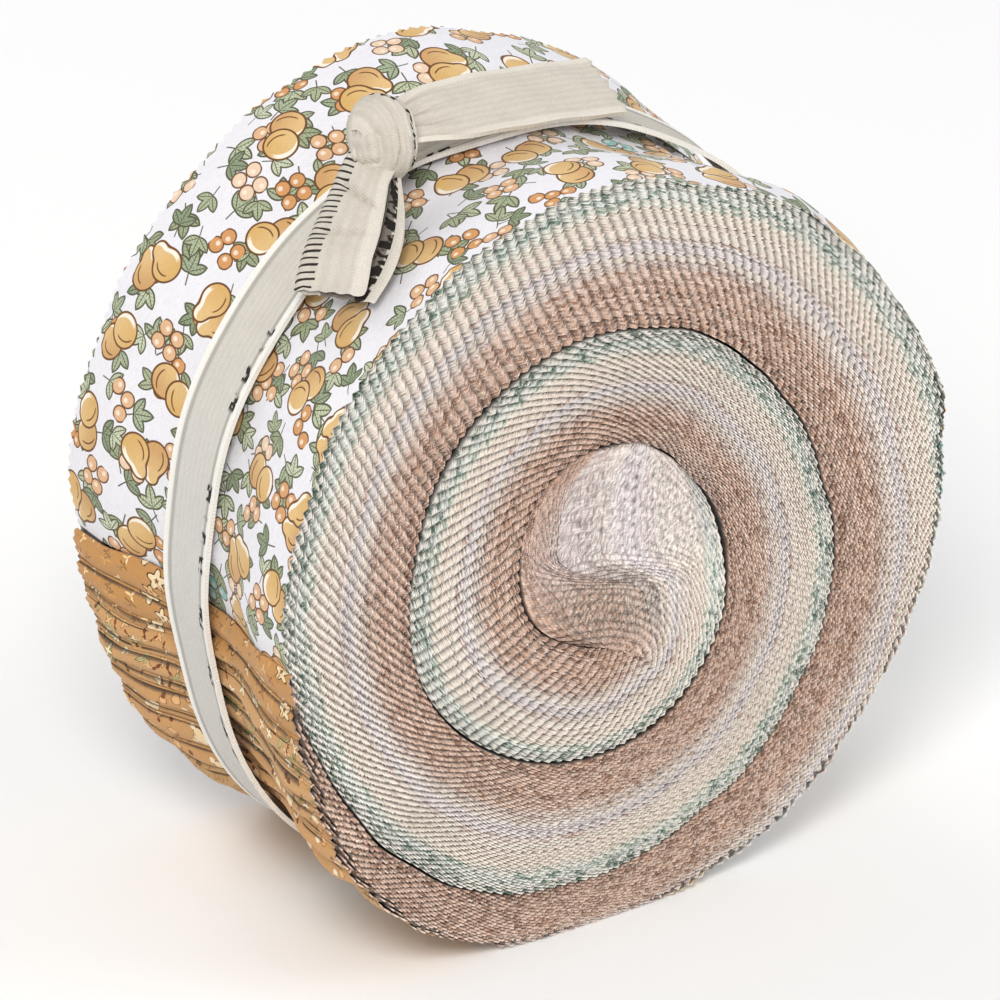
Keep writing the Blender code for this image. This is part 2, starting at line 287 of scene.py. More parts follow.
def tapeRadius(angle):  # inner radius of the taut belt, which bridges the small steps of the ends
    angle = np.asarray(angle, float)
    reach = range(-tape["bridge"], tape["bridge"] + 1, 2)
    weights = np.array([1 + math.cos(math.pi * s / (tape["bridge"] + 2)) for s in reach])
    around = sorted({a + b for a in reach for b in reach})
    radii = {s: treadRadius(angle + s) for s in around}
    bridged = [np.max([radii[a + b] for b in reach], axis=0) for a in reach]
    return np.average(bridged, axis=0, weights=weights) + tape["clearance"]


# one strip: a folded cloth whose two layers wind side by side, with a pinked edge
strip = {
    "measuredAt": 31.0,       # y just inside a face, where lengths and depths are taken
    "toothPitch": 2.0, "toothDepth": 0.75, "toothTip": 0.3, "coreTooth": 0.55,
    "toothShift": 0.10,       # how far the teeth of one strip are off the next one's, in teeth
    "alignedTurn": 158.0,     # the turn angle where the teeth of all layers line up
    "fill": 0.86,             # share of a layer's room that its cloth fills
    "looseFill": 0.70,        # the same for the outermost layers
    "coreFill": 0.97,         # the same at the core, where the layers have more room
    "tipAcross": 32.0,        # what the cloth attribute says at a tooth's tip, whatever the face's level
    # how far a strip wanders sideways in waves, each with its degrees to the radian, and how far off it is
    "drifts": ((0.13, 57), (0.078, 23), (0.065, 9.5)), "aside": 0.05,
    "coverFrom": 400.0, "coverDepth": 4.8,  # from that turn on, layers less deep stop short of the waist
    "innerShort": 1.2,        # degrees that the inner layer ends before the fold
    "edgeWidth": 6.0,         # width of those layers beside each face
}
rng = np.random.default_rng(27)
axisX = 0.3                 # the roll's axis stands this far right of the part's middle
treadNumber = 100           # what is added to a layer's number where it lies on the tread


def stripList():  # each strip's visible part on the tread, and its two layers' places in the stack
    made, before, room = [], roll["lastTurn"] - 360, stripShare / 2
    for name, stops in prints.items():
        for stop in stops:
            outer = 1.0 - (2 * len(made) + 0.5) * room
            made.append({"print": name, "from": before, "end": stop, "outer": outer,
                         "inner": outer - room, "room": room, "number": len(made)})
            before = stop
    return made


def cutTurn(share):  # where a layer comes so near the tread that the waist would bare it
    turns = np.arange(strip["coverFrom"], roll["lastTurn"] + 1, 1.0)
    points = stackPlace(turns, share, strip["measuredAt"])
    reach = np.hypot(points[:, 0], points[:, 1])
    near = treadRadius(turns, strip["measuredAt"]) - reach < strip["coverDepth"]
    return turns[np.argmax(near)] if near.any() else turns[-1]


class LayerPath:
    # half-tooth columns along one layer, the same for its plate, its edges and its outer end
    def __init__(self, share, room, number, wander):
        self.share, self.room, self.number, self.wander = share, room, number, wander
        turns = np.arange(roll["firstTurn"], roll["lastTurn"] + 0.5, 0.5)
        middle = stackPlace(turns, share, -strip["measuredAt"])
        length = np.concatenate(([0], np.cumsum(np.hypot(*np.diff(middle, axis=0).T))))
        self.turns = turns
        shift = strip["toothShift"] * strip["toothPitch"] * wander[3]
        self.length = length - np.interp(strip["alignedTurn"], turns, length) + shift

    def columns(self, start, stop):
        half = strip["toothPitch"] / 2
        low, high = np.interp((start, stop), self.turns, self.length)
        counts = np.arange(math.ceil(low / half + 0.15), math.floor(high / half - 0.15) + 1)
        lengths = np.concatenate(([low], counts * half, [high]))
        return np.interp(lengths, self.length, self.turns), lengths

    def tooth(self, turns, lengths):  # how far the edge stands back from the tips, less at the core
        phase = lengths / strip["toothPitch"]
        least = strip["coreTooth"]
        depth = strip["toothDepth"] * (least + (1 - least) * smoothStep(0, 90, turns))
        return depth * 2 * np.abs(phase - np.round(phase))

    def drift(self, turns):
        waves = zip(strip["drifts"], self.wander)
        wave = sum(size * np.sin(turns / reach + start) for (size, reach), start in waves)
        return wave + strip["aside"] * self.wander[3]

    def edges(self, turns, lengths):  # the front and back y of the pinked edge
        level = faceLevel(turns, stackShare(turns, self.share)) + strip["toothTip"]
        level = level - self.tooth(turns, lengths)
        return -level + self.drift(turns), level + self.drift(turns)

    def cuts(self, turns, lengths):  # the cloth attribute's value at the front and back pinked edge
        tip = strip["tipAcross"] - self.tooth(turns, lengths)
        return -tip, tip

    def skins(self, turns, y):  # inner and outer surface of the layer
        outermost = smoothStep(0.86, 0.98, self.share)
        fill = strip["fill"] + (strip["looseFill"] - strip["fill"]) * outermost
        fill = fill + (strip["coreFill"] - fill) * (1 - smoothStep(10, 60, turns))
        half = fill * self.room / 2
        return stackPlace(turns, self.share - half, y), stackPlace(turns, self.share + half, y)


def growCloth(bm, place, upper, lower, across, along, number, ring=False):
    # A closed thin cloth between two skins, columns x rows x 3, in millimetres from the roll's axis.
    # It starts as a flat grid whose rows run round the cloth, and is welded to a closed skin.
    columns, rows = across.shape
    grid = bmesh.ops.create_grid(bm, x_segments=columns - 1, y_segments=2 * rows, size=1)["verts"]
    skin = np.concatenate((upper, lower[:, ::-1], upper[:, :1]), 1)
    side = np.concatenate((across, across[:, ::-1], across[:, :1]), 1)
    middle = (upper + lower) / 2
    for end in () if ring else (0, -1):  # both ends are closed to an edge
        skin[end] = np.concatenate((middle[end], middle[end, ::-1], middle[end, :1]), 0)
    skin = (skin + np.array((axisX, 0, roll["flatDepth"]))) * mm
    numbers = np.broadcast_to(number, columns)
    for vert in grid:
        i = round((vert.co.x + 1) / 2 * (columns - 1))
        j = round((vert.co.y + 1) / 2 * 2 * rows)
        vert.co = skin[i, j]
        vert[place] = Vector((along[i] * mm, side[i, j] * mm, numbers[i]))
    bmesh.ops.remove_doubles(bm, verts=grid, dist=1.5e-6)


def growLayer(bm, place, inside, outside, y, across, along, number):  # inside and outside are x and z only
    upper, lower = (np.stack((skin[..., 0], y, skin[..., 1]), -1) for skin in (outside, inside))
    growCloth(bm, place, upper, lower, across, along, number)


def growPlate(bm, place, path, start, stop):  # a layer across the whole width
    turns, lengths = path.columns(start, stop)
    y, across = np.stack(path.edges(turns, lengths), 1), np.stack(path.cuts(turns, lengths), 1)
    inside, outside = path.skins(turns[:, None], y)
    growLayer(bm, place, inside, outside, y, across, lengths, path.number)


def growEdges(bm, place, path, start, stop):  # a layer's two edges beside the waist
    turns, lengths = path.columns(start, stop)
    reach = strip["edgeWidth"]
    for edge, cut, inwards in zip(path.edges(turns, lengths), path.cuts(turns, lengths), (reach, -reach)):
        y, across = (np.sort(np.stack((side, side + inwards), 1)) for side in (edge, cut))
        inside, outside = path.skins(turns[:, None], y)
        growLayer(bm, place, inside, outside, y, across, lengths, path.number)


# the part of each strip that shows on the tread, up to its folded end
tread = {
    "rows": 34, "lap": 5.0,            # degrees that each strip runs on under the one before
    "ridge": 0.19, "ridgeMost": 0.85,  # height of a folded end's swell, for each degree that shows
    "ridgeWide": 0.30,                 # the same where the ends lie far apart
    "endRadius": 0.42,                 # least half thickness of a folded end
    "apart": (6.5, 12.0),              # degrees from which on they count as far apart
    "ridgeForm": (1.35, 0.9),          # the swell is highest past its middle, and falls off round
    "lively": ((0.35, 0.21, 1.7), (0.25, 0.47, 3.91)),  # how a swell changes across the roll
    "quiet": (27.0, 31.0, 0.75),       # near the faces it is less by that share
    "bends": (12, 30, 50, 75, 100, 130, 160),
    "innerRows": (0.035, 0.965), "innerReach": 31.2245,  # the rows between the pinked edges
    # size, rate round the roll, lean and start of the soft waves, and of the puckers at the tape
    "ripple": 0.22, "ripples": ((1.0, 9, 0.05, 0.0), (1.0, 17, -0.11, 1.3), (0.6, 31, 0.21, 0.0)),
    "pucker": 0.45, "puckers": ((1.0, 47, 0.0, 0.0), (0.7, 71, 0.0, 0.9)),
    "puckerFrom": 6.0, "puckerReach": 5.0,
    "underTape": 0.12,                 # room left under the tape, beside which it may rise freely
    "freeFrom": (6.3, 16.0), "freeRise": 6.0,
    "lapSink": 0.25, "lapFrom": (1.4, 3.2),
    "lying": (0.3, 0.05),              # how high its inner and outer skin lie over the table
    # where the outermost strip stands off behind the rim: turns, y and height
    "slack": (652.0, 672.0, 694.0), "slackDeep": (-31.5, -24.0, -9.0), "slackRise": 1.5,
}


def humpAt(stations, value):
    low, peak, high = stations
    return smoothStep(low, peak, value) * (1 - smoothStep(peak, high, value))


def wavesAt(waves, angle, y):
    return sum(size * np.sin(rate * angle + lean * y + start) for size, rate, lean, start in waves)


def treadSwell(section, y, piece):
    # How far the outermost cloth stands off: rounded ends, soft ripples and puckers at the tape
    number = piece["number"]
    visible = max(piece["end"] - piece["from"], 1.0)
    share = np.clip((section - piece["from"]) / visible, 0.0, 1.0)
    lively = 1 + sum(size * np.sin(rate * y + start * number) for size, rate, start in tread["lively"])
    close = 1 - smoothStep(*tread["apart"], visible)
    crowded = min(tread["ridge"] * visible, tread["ridgeMost"])
    height = tread["ridgeWide"] + (crowded - tread["ridgeWide"]) * close
    late, fall = tread["ridgeForm"]
    ridge = height * lively * np.sin(np.pi * share ** late) ** fall if number else 0.0
    angle = np.radians(section)
    ripple = tread["ripple"] * wavesAt(tread["ripples"], angle, y)
    away = np.maximum(np.abs(y) - tread["puckerFrom"], 0.0)
    pucker = tread["pucker"] * np.exp(-away / tread["puckerReach"]) * wavesAt(tread["puckers"], angle, y)
    calm = smoothStep(0, 2.5, section - piece["from"]) * smoothStep(0, 2.0, piece["end"] - section)
    low, high, less = tread["quiet"]
    edge = 1 - less * smoothStep(low, high, np.abs(y))
    slack = 0.0
    if number < 2:
        slack = tread["slackRise"] * humpAt(tread["slack"], section) * humpAt(tread["slackDeep"], y)
    started = calm if number else smoothStep(0, 4, section - piece["from"])
    loose = np.maximum((ripple + pucker) * started * 0.5, -0.05)
    return (ridge + loose) * edge + slack


def growTread(bm, place, piece, path):
    number = piece["number"]
    start = piece["from"] - (tread["lap"] if number else 0.0)
    turns, lengths = path.columns(start, piece["end"])
    fold = max(piece["room"] * roll["stack"], tread["endRadius"])  # half thickness of the folded end
    front, back = path.edges(turns, lengths)
    share = np.linspace(0, 1, tread["rows"])
    inner = slice(1, -1)                            # inner rows don't follow the teeth
    share[inner] = np.interp(share[inner], (0, 1), tread["innerRows"])
    y = front[:, None] + (back - front)[:, None] * share
    y[:, inner] = tread["innerReach"] * (2 * share - 1)[inner] + path.drift(turns)[:, None]
    across = y.copy()
    across[:, 0], across[:, -1] = path.cuts(turns, lengths)
    inside, outside = path.skins(turns[:, None], y)
    under = smoothStep(*tread["lapFrom"], piece["from"] - turns)[:, None] if number else 0.0
    swell = treadSwell(turns[:, None], y, piece) - tread["lapSink"] * under
    reach = np.hypot(outside[..., 0], outside[..., 1])
    free = tread["freeRise"] * smoothStep(*tread["freeFrom"], np.abs(y))
    limit = tapeRadius(turns)[:, None] - tread["underTape"] + free
    lift = np.minimum(reach + swell, limit) - reach
    direction = outside / reach[..., None]
    outside = outside + direction * lift[..., None]
    inside = inside + direction * lift[..., None]
    for skin, level in zip((inside, outside), tread["lying"]):
        skin[..., 1] = np.maximum(skin[..., 1], level - roll["flatDepth"])
    # round the folded end down to the inner layer
    outward = direction[-1]
    forward = np.stack((outward[:, 1], -outward[:, 0]), -1)
    bends = np.radians(tread["bends"])
    ways = np.sin(bends)[:, None, None] * forward + np.cos(bends)[:, None, None] * outward
    centre = outside[-1] - outward * fold
    outside, inside = (np.concatenate((skin, centre + size * fold * ways))
                       for skin, size in ((outside, 1.0), (inside, 0.25)))
    y, across = (np.concatenate((rows, np.repeat(rows[-1:], len(bends), 0))) for rows in (y, across))
    lengths = np.concatenate((lengths, lengths[-1] + fold * bends))
    # the cloth's number is raised on the tread, and by more than a quarter in the crease at an end, where the
    # finish paints shade into the crease
    crease = 0.5 * (1 - smoothStep(0.3, 0.9, turns - piece["from"])) if number else 0.0 * turns
    numbers = path.number + treadNumber + 0.25 + np.concatenate((crease, np.zeros(len(bends))))
    growLayer(bm, place, inside, outside, y, across, lengths, numbers)


def newPiece(name, bm, smooth=50):
    bmesh.ops.recalc_face_normals(bm, faces=bm.faces)
    mesh = bpy.data.meshes.new(name)
    bm.to_mesh(mesh)
    bm.free()
    mesh.shade_smooth()
    mesh.set_sharp_from_angle(angle=math.radians(smooth))
    piece = bpy.data.objects.new(name, mesh)
    bpy.context.scene.collection.objects.link(piece)
    return piece


def markCuts(mesh):  # gives the faces of the pinked edge the second finish
    cloth = np.empty(3 * len(mesh.vertices))
    mesh.attributes["cloth"].data.foreach_get("vector", cloth)
    across = np.abs(cloth[1::3])
    for face in mesh.polygons:
        if across[list(face.vertices)].min() > finish["cutFrom"]:
            face.material_index = 1


def makeStrips():
    pieces = {}
    wanders = rng.uniform(0, 2 * math.pi, (80, 4))
    wanders[:, 3] = rng.uniform(-1, 1, 80)
    allStrips = stripList()
    for name in prints:
        bm = bmesh.new()
        place = bm.verts.layers.float_vector.new("cloth")
        for piece in (s for s in allStrips if s["print"] == name):
            number = piece["number"]
            outer = LayerPath(piece["outer"], piece["room"], 2 * number, wanders[2 * number])
            inner = LayerPath(piece["inner"], piece["room"], 2 * number + 1, wanders[2 * number + 1])
            seen = piece["from"] - (tread["lap"] if number else 0.0)
            for path, stop in ((outer, seen), (inner, piece["end"] - strip["innerShort"])):
                cut = min(cutTurn(path.share), stop - 1.0)
                growPlate(bm, place, path, roll["firstTurn"], cut)
                growEdges(bm, place, path, cut, stop)
            growTread(bm, place, piece, outer)
        pieces[name] = newPiece("strips_" + name, bm)
        print("strips", name, len(pieces[name].data.polygons), "faces")
    return pieces


# the tie: a cotton tape folded lengthways, with dark overcast stitches; its open end hangs in front
tie = {
    "knot": (-26.3, -4.2, 69.8), "knotSize": (5.9, 6.7),
    "wrapWide": 7.5, "wrapFrom": -70.0, "wrapTo": 240.0,
    "closing": 4.1,             # how far the wrap closes in at its left edge
    "plug": (-27.0, -4.2, 69.6), "plugSize": (3.9, 4.7, 5.9),  # the pressed tape inside it
    # length, x, y, z, width and tilt of the end that leaves to the right
    "rightTail": (
        (0, -25.5, -3.9, 70.2, 6.0, 18), (5, -20.6, -3.2, 70.3, 8.8, 19), (10, -15.5, -2.5, 70.1, 11.4, 19),
        (16, -9.5, -2.0, 69.4, 12.5, 19), (25, -0.6, -1.8, 68.3, 12.5, 19), (34, 8.2, -1.6, 66.9, 12.5, 19),
        (43.5, 17.4, -1.5, 65.2, 12.5, 20)),
    # its folds and waves: size, then rate or place across it, then where along it they come in
    "gather": (0.8, 24, 11.0), "flutter": (0.10, 0.55, 5), "ragged": (0.45, 31, 41.5, 43.5),
    "bow": (0.45, 10, 24), "rightCrease": (0.22, -0.29, 0.035, 8, 16),
    # share of its length, x, y, z of the hanging end's folded edge and of its open edge
    "foldEdge": (
        (0, -25.4, 1.0, 69.2), (0.2, -29.2, 0.1, 66.2), (0.4, -33.0, -1.0, 61.9),
        (0.6, -36.9, -2.9, 58.4), (0.8, -41.0, -5.6, 55.2), (1, -45.3, -9.4, 51.2)),
    "openEdge": (
        (0, -25.4, -8.1, 65.2), (0.2, -27.8, -12.6, 63.8), (0.4, -30.4, -16.8, 62.3),
        (0.6, -33.3, -20.4, 60.5), (0.8, -36.8, -22.9, 58.2), (1, -40.9, -24.0, 54.8)),
    "hangLength": 29.0, "upperReach": 0.83, "parting": 1.8,
    # place down the hanging end, slant, depth and width of its two creases
    "hangCreases": ((0.40, 0.10, 0.9, 0.028), (0.66, -0.08, 0.7, 0.024)),
}
belt = {
    "from": -110, "to": 250,    # degrees; its ends meet under the knot
    "pinches": ((158, 26, 0.16), (250, 11, 0.42)),  # middle, reach and share by which it is narrower
    "swerve": (252, 14), "gather": (250, 9), "gatherDeep": 0.35, "gatherRate": 2.1,
    "lift": 0.8,                # how far it is pulled up to the knot
    "cup": 0.16, "ripple": 0.12, "clear": 0.1,
    "low": (0.9, 0.2),          # how high its inner and outer skin lie over the table
}


def edgeRise(across, half):  # the woven edges stand a little over the tape's middle
    fromEdge = half - np.abs(across)
    return tape["selvageRise"] * (1 - smoothStep(tape["selvage"] * 0.6, tape["selvage"] * 1.3, fromEdge))


def makeBelt():
    columns, rows = 320, 15
    bm = bmesh.new()
    place = bm.verts.layers.float_vector.new("cloth")
    turns = np.linspace(belt["from"], belt["to"], columns)
    flat = np.linspace(-1, 1, rows) * tape["width"] / 2

    def near(middle, reach):
        return np.exp(-(((turns - middle + 180) % 360 - 180) / reach) ** 2)

    pinch = 1 - sum(share * near(middle, reach) for middle, reach, share in belt["pinches"])
    wave = 0.35 * np.sin(np.radians(3 * turns + 40)) + 0.2 * np.sin(np.radians(7 * turns))
    wave = wave + near(*belt["swerve"])
    y = flat * pinch[:, None] + wave[:, None]
    pleats = belt["gatherDeep"] * np.cos(flat * belt["gatherRate"])
    gather = near(*belt["gather"])[:, None] * (pleats + belt["lift"])
    cup = -belt["cup"] * (1 - (2 * flat / tape["width"]) ** 2)
    ripple = belt["ripple"] * np.sin(np.radians(11 * turns))
    radius = (tapeRadius(turns) + ripple)[:, None] + gather + cup + belt["clear"]
    outwards = onTurn(turns, 1.0)[:, None, :]
    thick = (tape["thickness"] + edgeRise(flat, tape["width"] / 2))[None, :, None]
    inside = outwards * radius[..., None]
    outside = inside + outwards * thick
    for skin, level in zip((inside, outside), belt["low"]):
        skin[..., 1] = np.maximum(skin[..., 1], level - roll["flatDepth"])
    length = np.concatenate(([0], np.cumsum(np.hypot(*np.diff(inside[:, 0], axis=0).T))))
    upper, lower = (np.stack((skin[..., 0], y, skin[..., 1]), -1) for skin in (outside, inside))
    growCloth(bm, place, upper, lower, np.repeat(flat[None, :], columns, 0), length, 0, ring=True)
    return newPiece("tape_belt", bm), length[-1]


def growRibbon(name, points, along, across, thick, number, awayFrom=None):
    # a cloth of the given thickness on both sides of its middle surface, columns x rows x 3
    normal = np.cross(np.gradient(points, axis=0), np.gradient(points, axis=1))
    normal /= np.linalg.norm(normal, axis=-1, keepdims=True)
    if awayFrom is not None:
        normal *= np.sign(np.sum(normal * (points - np.array(awayFrom)), -1).mean())
    bm = bmesh.new()
    place = bm.verts.layers.float_vector.new("cloth")
    half = normal * np.broadcast_to(thick, across.shape)[..., None] / 2
    growCloth(bm, place, points + half, points - half, across, along, number)
    return newPiece(name, bm)


def makeRightTail():
    columns, rows = 80, 17
    s = np.linspace(0, tie["rightTail"][-1][0], columns)
    x, y, z, width, tilt = (readCurve(tie["rightTail"], s, c)[:, None] for c in (1, 2, 3, 4, 5))
    share = np.linspace(-0.5, 0.5, rows)[None, :]
    lean, lengths = np.radians(tilt), s[:, None]
    size, rate, reach = tie["gather"]
    lift = size * np.exp(-(lengths / reach) ** 2) * np.cos(share * rate)
    size, rate, slant = tie["flutter"]
    lift = lift + size * np.sin(lengths * rate + share * slant)
    size, rate, start, stop = tie["ragged"]
    ragged = size * np.sin(share * rate) * smoothStep(start, stop, lengths)
    size, start, stop = tie["bow"]
    bow = size * np.sin(np.pi * (share + 0.5)) * smoothStep(start, stop, lengths)
    size, at, wide, start, stop = tie["rightCrease"]
    crease = -size * np.exp(-((share - at) / wide) ** 2) * smoothStep(start, stop, lengths)
    points = np.stack((x + ragged, y + width * share * np.cos(lean) - lift * 0.3,
                       z + width * share * np.sin(lean) + lift + bow + crease), -1)
    across = np.repeat(share * tape["width"], columns, 0)
    return growRibbon("tape_end_right", points, s, across,
                      tape["thickness"] + edgeRise(across, tape["width"] / 2), 1, (0, 0, 0))


def makeHangingTail():
    columns, rows = 64, 37
    s = np.linspace(0, 1, columns)
    folded, opened = (np.stack([readCurve(tie[edge], s, c) for c in (1, 2, 3)], -1)[:, None, :]
                      for edge in ("foldEdge", "openEdge"))
    fold = np.linspace(-1, 1, rows)[None, :]
    down, layer = s[:, None], np.abs(fold)
    # the upper layer is narrower and stands off the lower one, which shows beyond it on the right
    upperReach = tie["upperReach"] + 0.12 * (1 - smoothStep(0, 0.25, down)) + 0.10 * smoothStep(0.75, 1, down)
    reach = layer * np.where(fold > 0, upperReach, 1.0)
    rounded = np.sign(fold) * np.minimum(1.0, layer * 7) ** 0.6
    gape = tie["parting"] * (0.25 + 0.75 * np.sin(np.pi * np.clip(down * 1.05, 0, 1)) ** 0.7)
    lift = rounded * 0.5 + np.where(fold > 0, gape * layer ** 1.4, -0.15 * layer)
    lift += 0.55 * np.sin(np.pi * layer) * (fold > 0)
    for middle, lean, deep, wide in tie["hangCreases"]:
        crease = np.exp(-((down - middle - lean * (layer - 0.5)) / wide) ** 2)
        lift -= deep * crease * (fold > 0) * smoothStep(0.02, 0.3, layer) * (1 - smoothStep(0.7, 1.0, layer))
    lift += 0.12 * np.sin(9 * down + 4 * fold)
    outwards = (folded + opened) / 2 * np.array((1, 0, 1.0))
    outwards /= np.linalg.norm(outwards, axis=-1, keepdims=True)
    points = folded + (opened - folded) * reach[..., None] + outwards * lift[..., None]
    ragged = 0.14 * np.sin(fold * 29) * smoothStep(0.95, 1.0, down)
    points += ragged[..., None] * (folded[-1] - folded[-4]) / np.linalg.norm(folded[-1] - folded[-4])
    across = np.repeat(fold * tape["width"] / 2, columns, 0)
    return growRibbon("tape_end_hanging", points, s * tie["hangLength"], across, tape["thickness"] * 0.8, 2)


def onBelt(points, above):  # lifts points of the knot off the belt under it
    reach = np.hypot(points[..., 0], points[..., 2])
    angle = np.degrees(np.arctan2(-points[..., 2], points[..., 0])) % 360
    seat = tapeRadius(angle) + tape["thickness"] + above
    lifted = points.copy()
    lifted[..., 0] *= np.maximum(1.0, seat / reach)
    lifted[..., 2] *= np.maximum(1.0, seat / reach)
    return lifted


def makeKnot():
    # the knot's body, of tape pressed together, and the turn of tape that goes over it
    centre, size = tie["knot"], tie["knotSize"]
    bm = bmesh.new()
    place = bm.verts.layers.float_vector.new("cloth")
    bmesh.ops.create_icosphere(bm, subdivisions=5, radius=1)
    way = np.array([vert.co.normalized() for vert in bm.verts])
    pleat = (0.034 * np.sin(11 * way[:, 2] + 4 * way[:, 1])
             + 0.025 * np.sin(19 * way[:, 1] - 7 * way[:, 2] + 1))
    girth = 0.87 + pleat * np.minimum(1.0, np.abs(way[:, 0]) * 1.6)
    body = onBelt(np.array(tie["plug"]) + way * np.array(tie["plugSize"]) * girth[:, None], 0.1)
    body = (body + np.array((axisX, 0, roll["flatDepth"]))) * mm
    for vert, point, d in zip(bm.verts, body, way):
        vert.co = point
        vert[place] = Vector((d[2] * 7 * mm, d[0] * 4 * mm, 4.0))
    knot = newPiece("tape_knot", bm)

    columns, rows = 96, 25
    turn = np.radians(np.linspace(tie["wrapFrom"], tie["wrapTo"], columns))[:, None]
    share = np.linspace(-1, 1, rows)[None, :]
    spread = tie["wrapWide"] / 2 * (1 - 0.20 * smoothStep(0.5, 1.0, np.abs(np.cos(turn))))
    curl = np.where(share < 0, tie["closing"] * np.abs(share) ** 2.4, 2.0 * np.abs(share) ** 3)
    pleats = 0.28 * np.sin(share * 7.5 + 0.8 * np.sin(turn * 2)) + 0.15 * np.sin(share * 19 + turn * 3)
    pleats *= 0.45 + 0.55 * smoothStep(0.2, 0.9, np.abs(np.cos(turn + 0.35)))
    points = np.stack((centre[0] + share * spread - 0.7 * np.cos(turn),
                       centre[1] + (size[0] + pleats - curl) * np.cos(turn),
                       centre[2] + (size[1] + pleats - curl) * np.sin(turn)), -1)
    across = np.repeat(share * tape["width"] / 2, columns, 0)
    wrap = growRibbon("tape_wrap", onBelt(points, 0.3), np.degrees(turn[:, 0]) / 57.3 * 6.8, across,
                      tape["thickness"], 3, tie["knot"])
    return knot, wrap, np.hypot(*np.diff(points[:, rows // 2, 1:], axis=0).T).sum()


# finishes
def tint(code):  # from a written colour such as d9a95b to the shader's own numbers
    parts = [int(code[i:i + 2], 16) / 255 for i in (0, 2, 4)]
    return tuple(p / 12.92 if p <= 0.04045 else ((p + 0.055) / 1.055) ** 2.4 for p in parts)


def give(tree, value, socket):
    if isinstance(value, bpy.types.NodeSocket):
        tree.links.new(value, socket)
    elif isinstance(value, str):
        socket.default_value = (*tint(value), 1)
    else:
        socket.default_value = value


def maths(tree, operation, *values):
    node = tree.nodes.new("ShaderNodeMath")
    node.operation = operation
    for value, socket in zip(values, node.inputs):
        give(tree, value, socket)
    return node.outputs[0]


def times(tree, *values):
    product = values[0]
    for value in values[1:]:
        product = maths(tree, "MULTIPLY", product, value)
    return product


def between(tree, value, low, high):
    return times(tree, maths(tree, "GREATER_THAN", value, low), maths(tree, "LESS_THAN", value, high))


def vectorMaths(tree, operation, first, second=None):
    node = tree.nodes.new("ShaderNodeVectorMath")
    node.operation = operation
    give(tree, first, node.inputs[0])
    if second is not None:
        give(tree, second, node.inputs[3 if operation == "SCALE" else 1])
    return node.outputs["Value" if operation in ("LENGTH", "DOT_PRODUCT", "DISTANCE") else "Vector"]


def mixColour(tree, factor, first, second, mode="MIX"):
    node = tree.nodes.new("ShaderNodeMix")
    node.data_type, node.blend_type = "RGBA", mode
    for value, socket in zip((factor, first, second), (node.inputs[0], node.inputs[6], node.inputs[7])):
        give(tree, value, socket)
    return node.outputs[2]


def ramp(tree, value, low, high, start=0.0, end=1.0):
    node = tree.nodes.new("ShaderNodeMapRange")
    node.interpolation_type = "SMOOTHSTEP"
    for given, socket in zip((value, low, high, start, end), node.inputs):
        give(tree, given, socket)
    return node.outputs[0]


def splitVector(tree, vector):
    node = tree.nodes.new("ShaderNodeSeparateXYZ")
    give(tree, vector, node.inputs[0])
    return node.outputs


def joinVector(tree, *values):
    node = tree.nodes.new("ShaderNodeCombineXYZ")
    for value, socket in zip(values, node.inputs):
        give(tree, value, socket)
    return node.outputs[0]


def noise(tree, vector, scale, detail=2.0, rough=0.5, flat=False):
    node = tree.nodes.new("ShaderNodeTexNoise")
    node.noise_dimensions = "2D" if flat else "3D"
    for name, value in (("Vector", vector), ("Scale", scale), ("Detail", detail), ("Roughness", rough)):
        give(tree, value, node.inputs[name])
    return node.outputs["Fac"]


def turned(tree, vector, angle, back=False):
    node = tree.nodes.new("ShaderNodeVectorRotate")
    node.rotation_type, node.invert = "Z_AXIS", back
    give(tree, vector, node.inputs["Vector"])
    give(tree, angle, node.inputs["Angle"])
    return node.outputs[0]


def shaded(tree, colour, shade):
    return mixColour(tree, 1.0, colour, joinVector(tree, shade, shade, shade), "MULTIPLY")


def newGroup(name, inputs, outputs):
    group = bpy.data.node_groups.new(name, "ShaderNodeTree")
    for label, kind, value in inputs:
        socket = group.interface.new_socket(label, in_out="INPUT", socket_type="NodeSocket" + kind)
        if kind == "Float":
            socket.default_value = value
    for label, kind in outputs:
        group.interface.new_socket(label, in_out="OUTPUT", socket_type="NodeSocket" + kind)
    return group, group.nodes.new("NodeGroupInput").outputs, group.nodes.new("NodeGroupOutput").inputs


def useGroup(tree, group, **values):
    node = tree.nodes.new("ShaderNodeGroup")
    node.node_tree = group
    for label, value in values.items():
        give(tree, value, node.inputs[label])
    return node.outputs


seedSteps = {"turn": 0.65, "shift": (13.1, 7.7)}  # what each whole seed turns and shifts the cells by


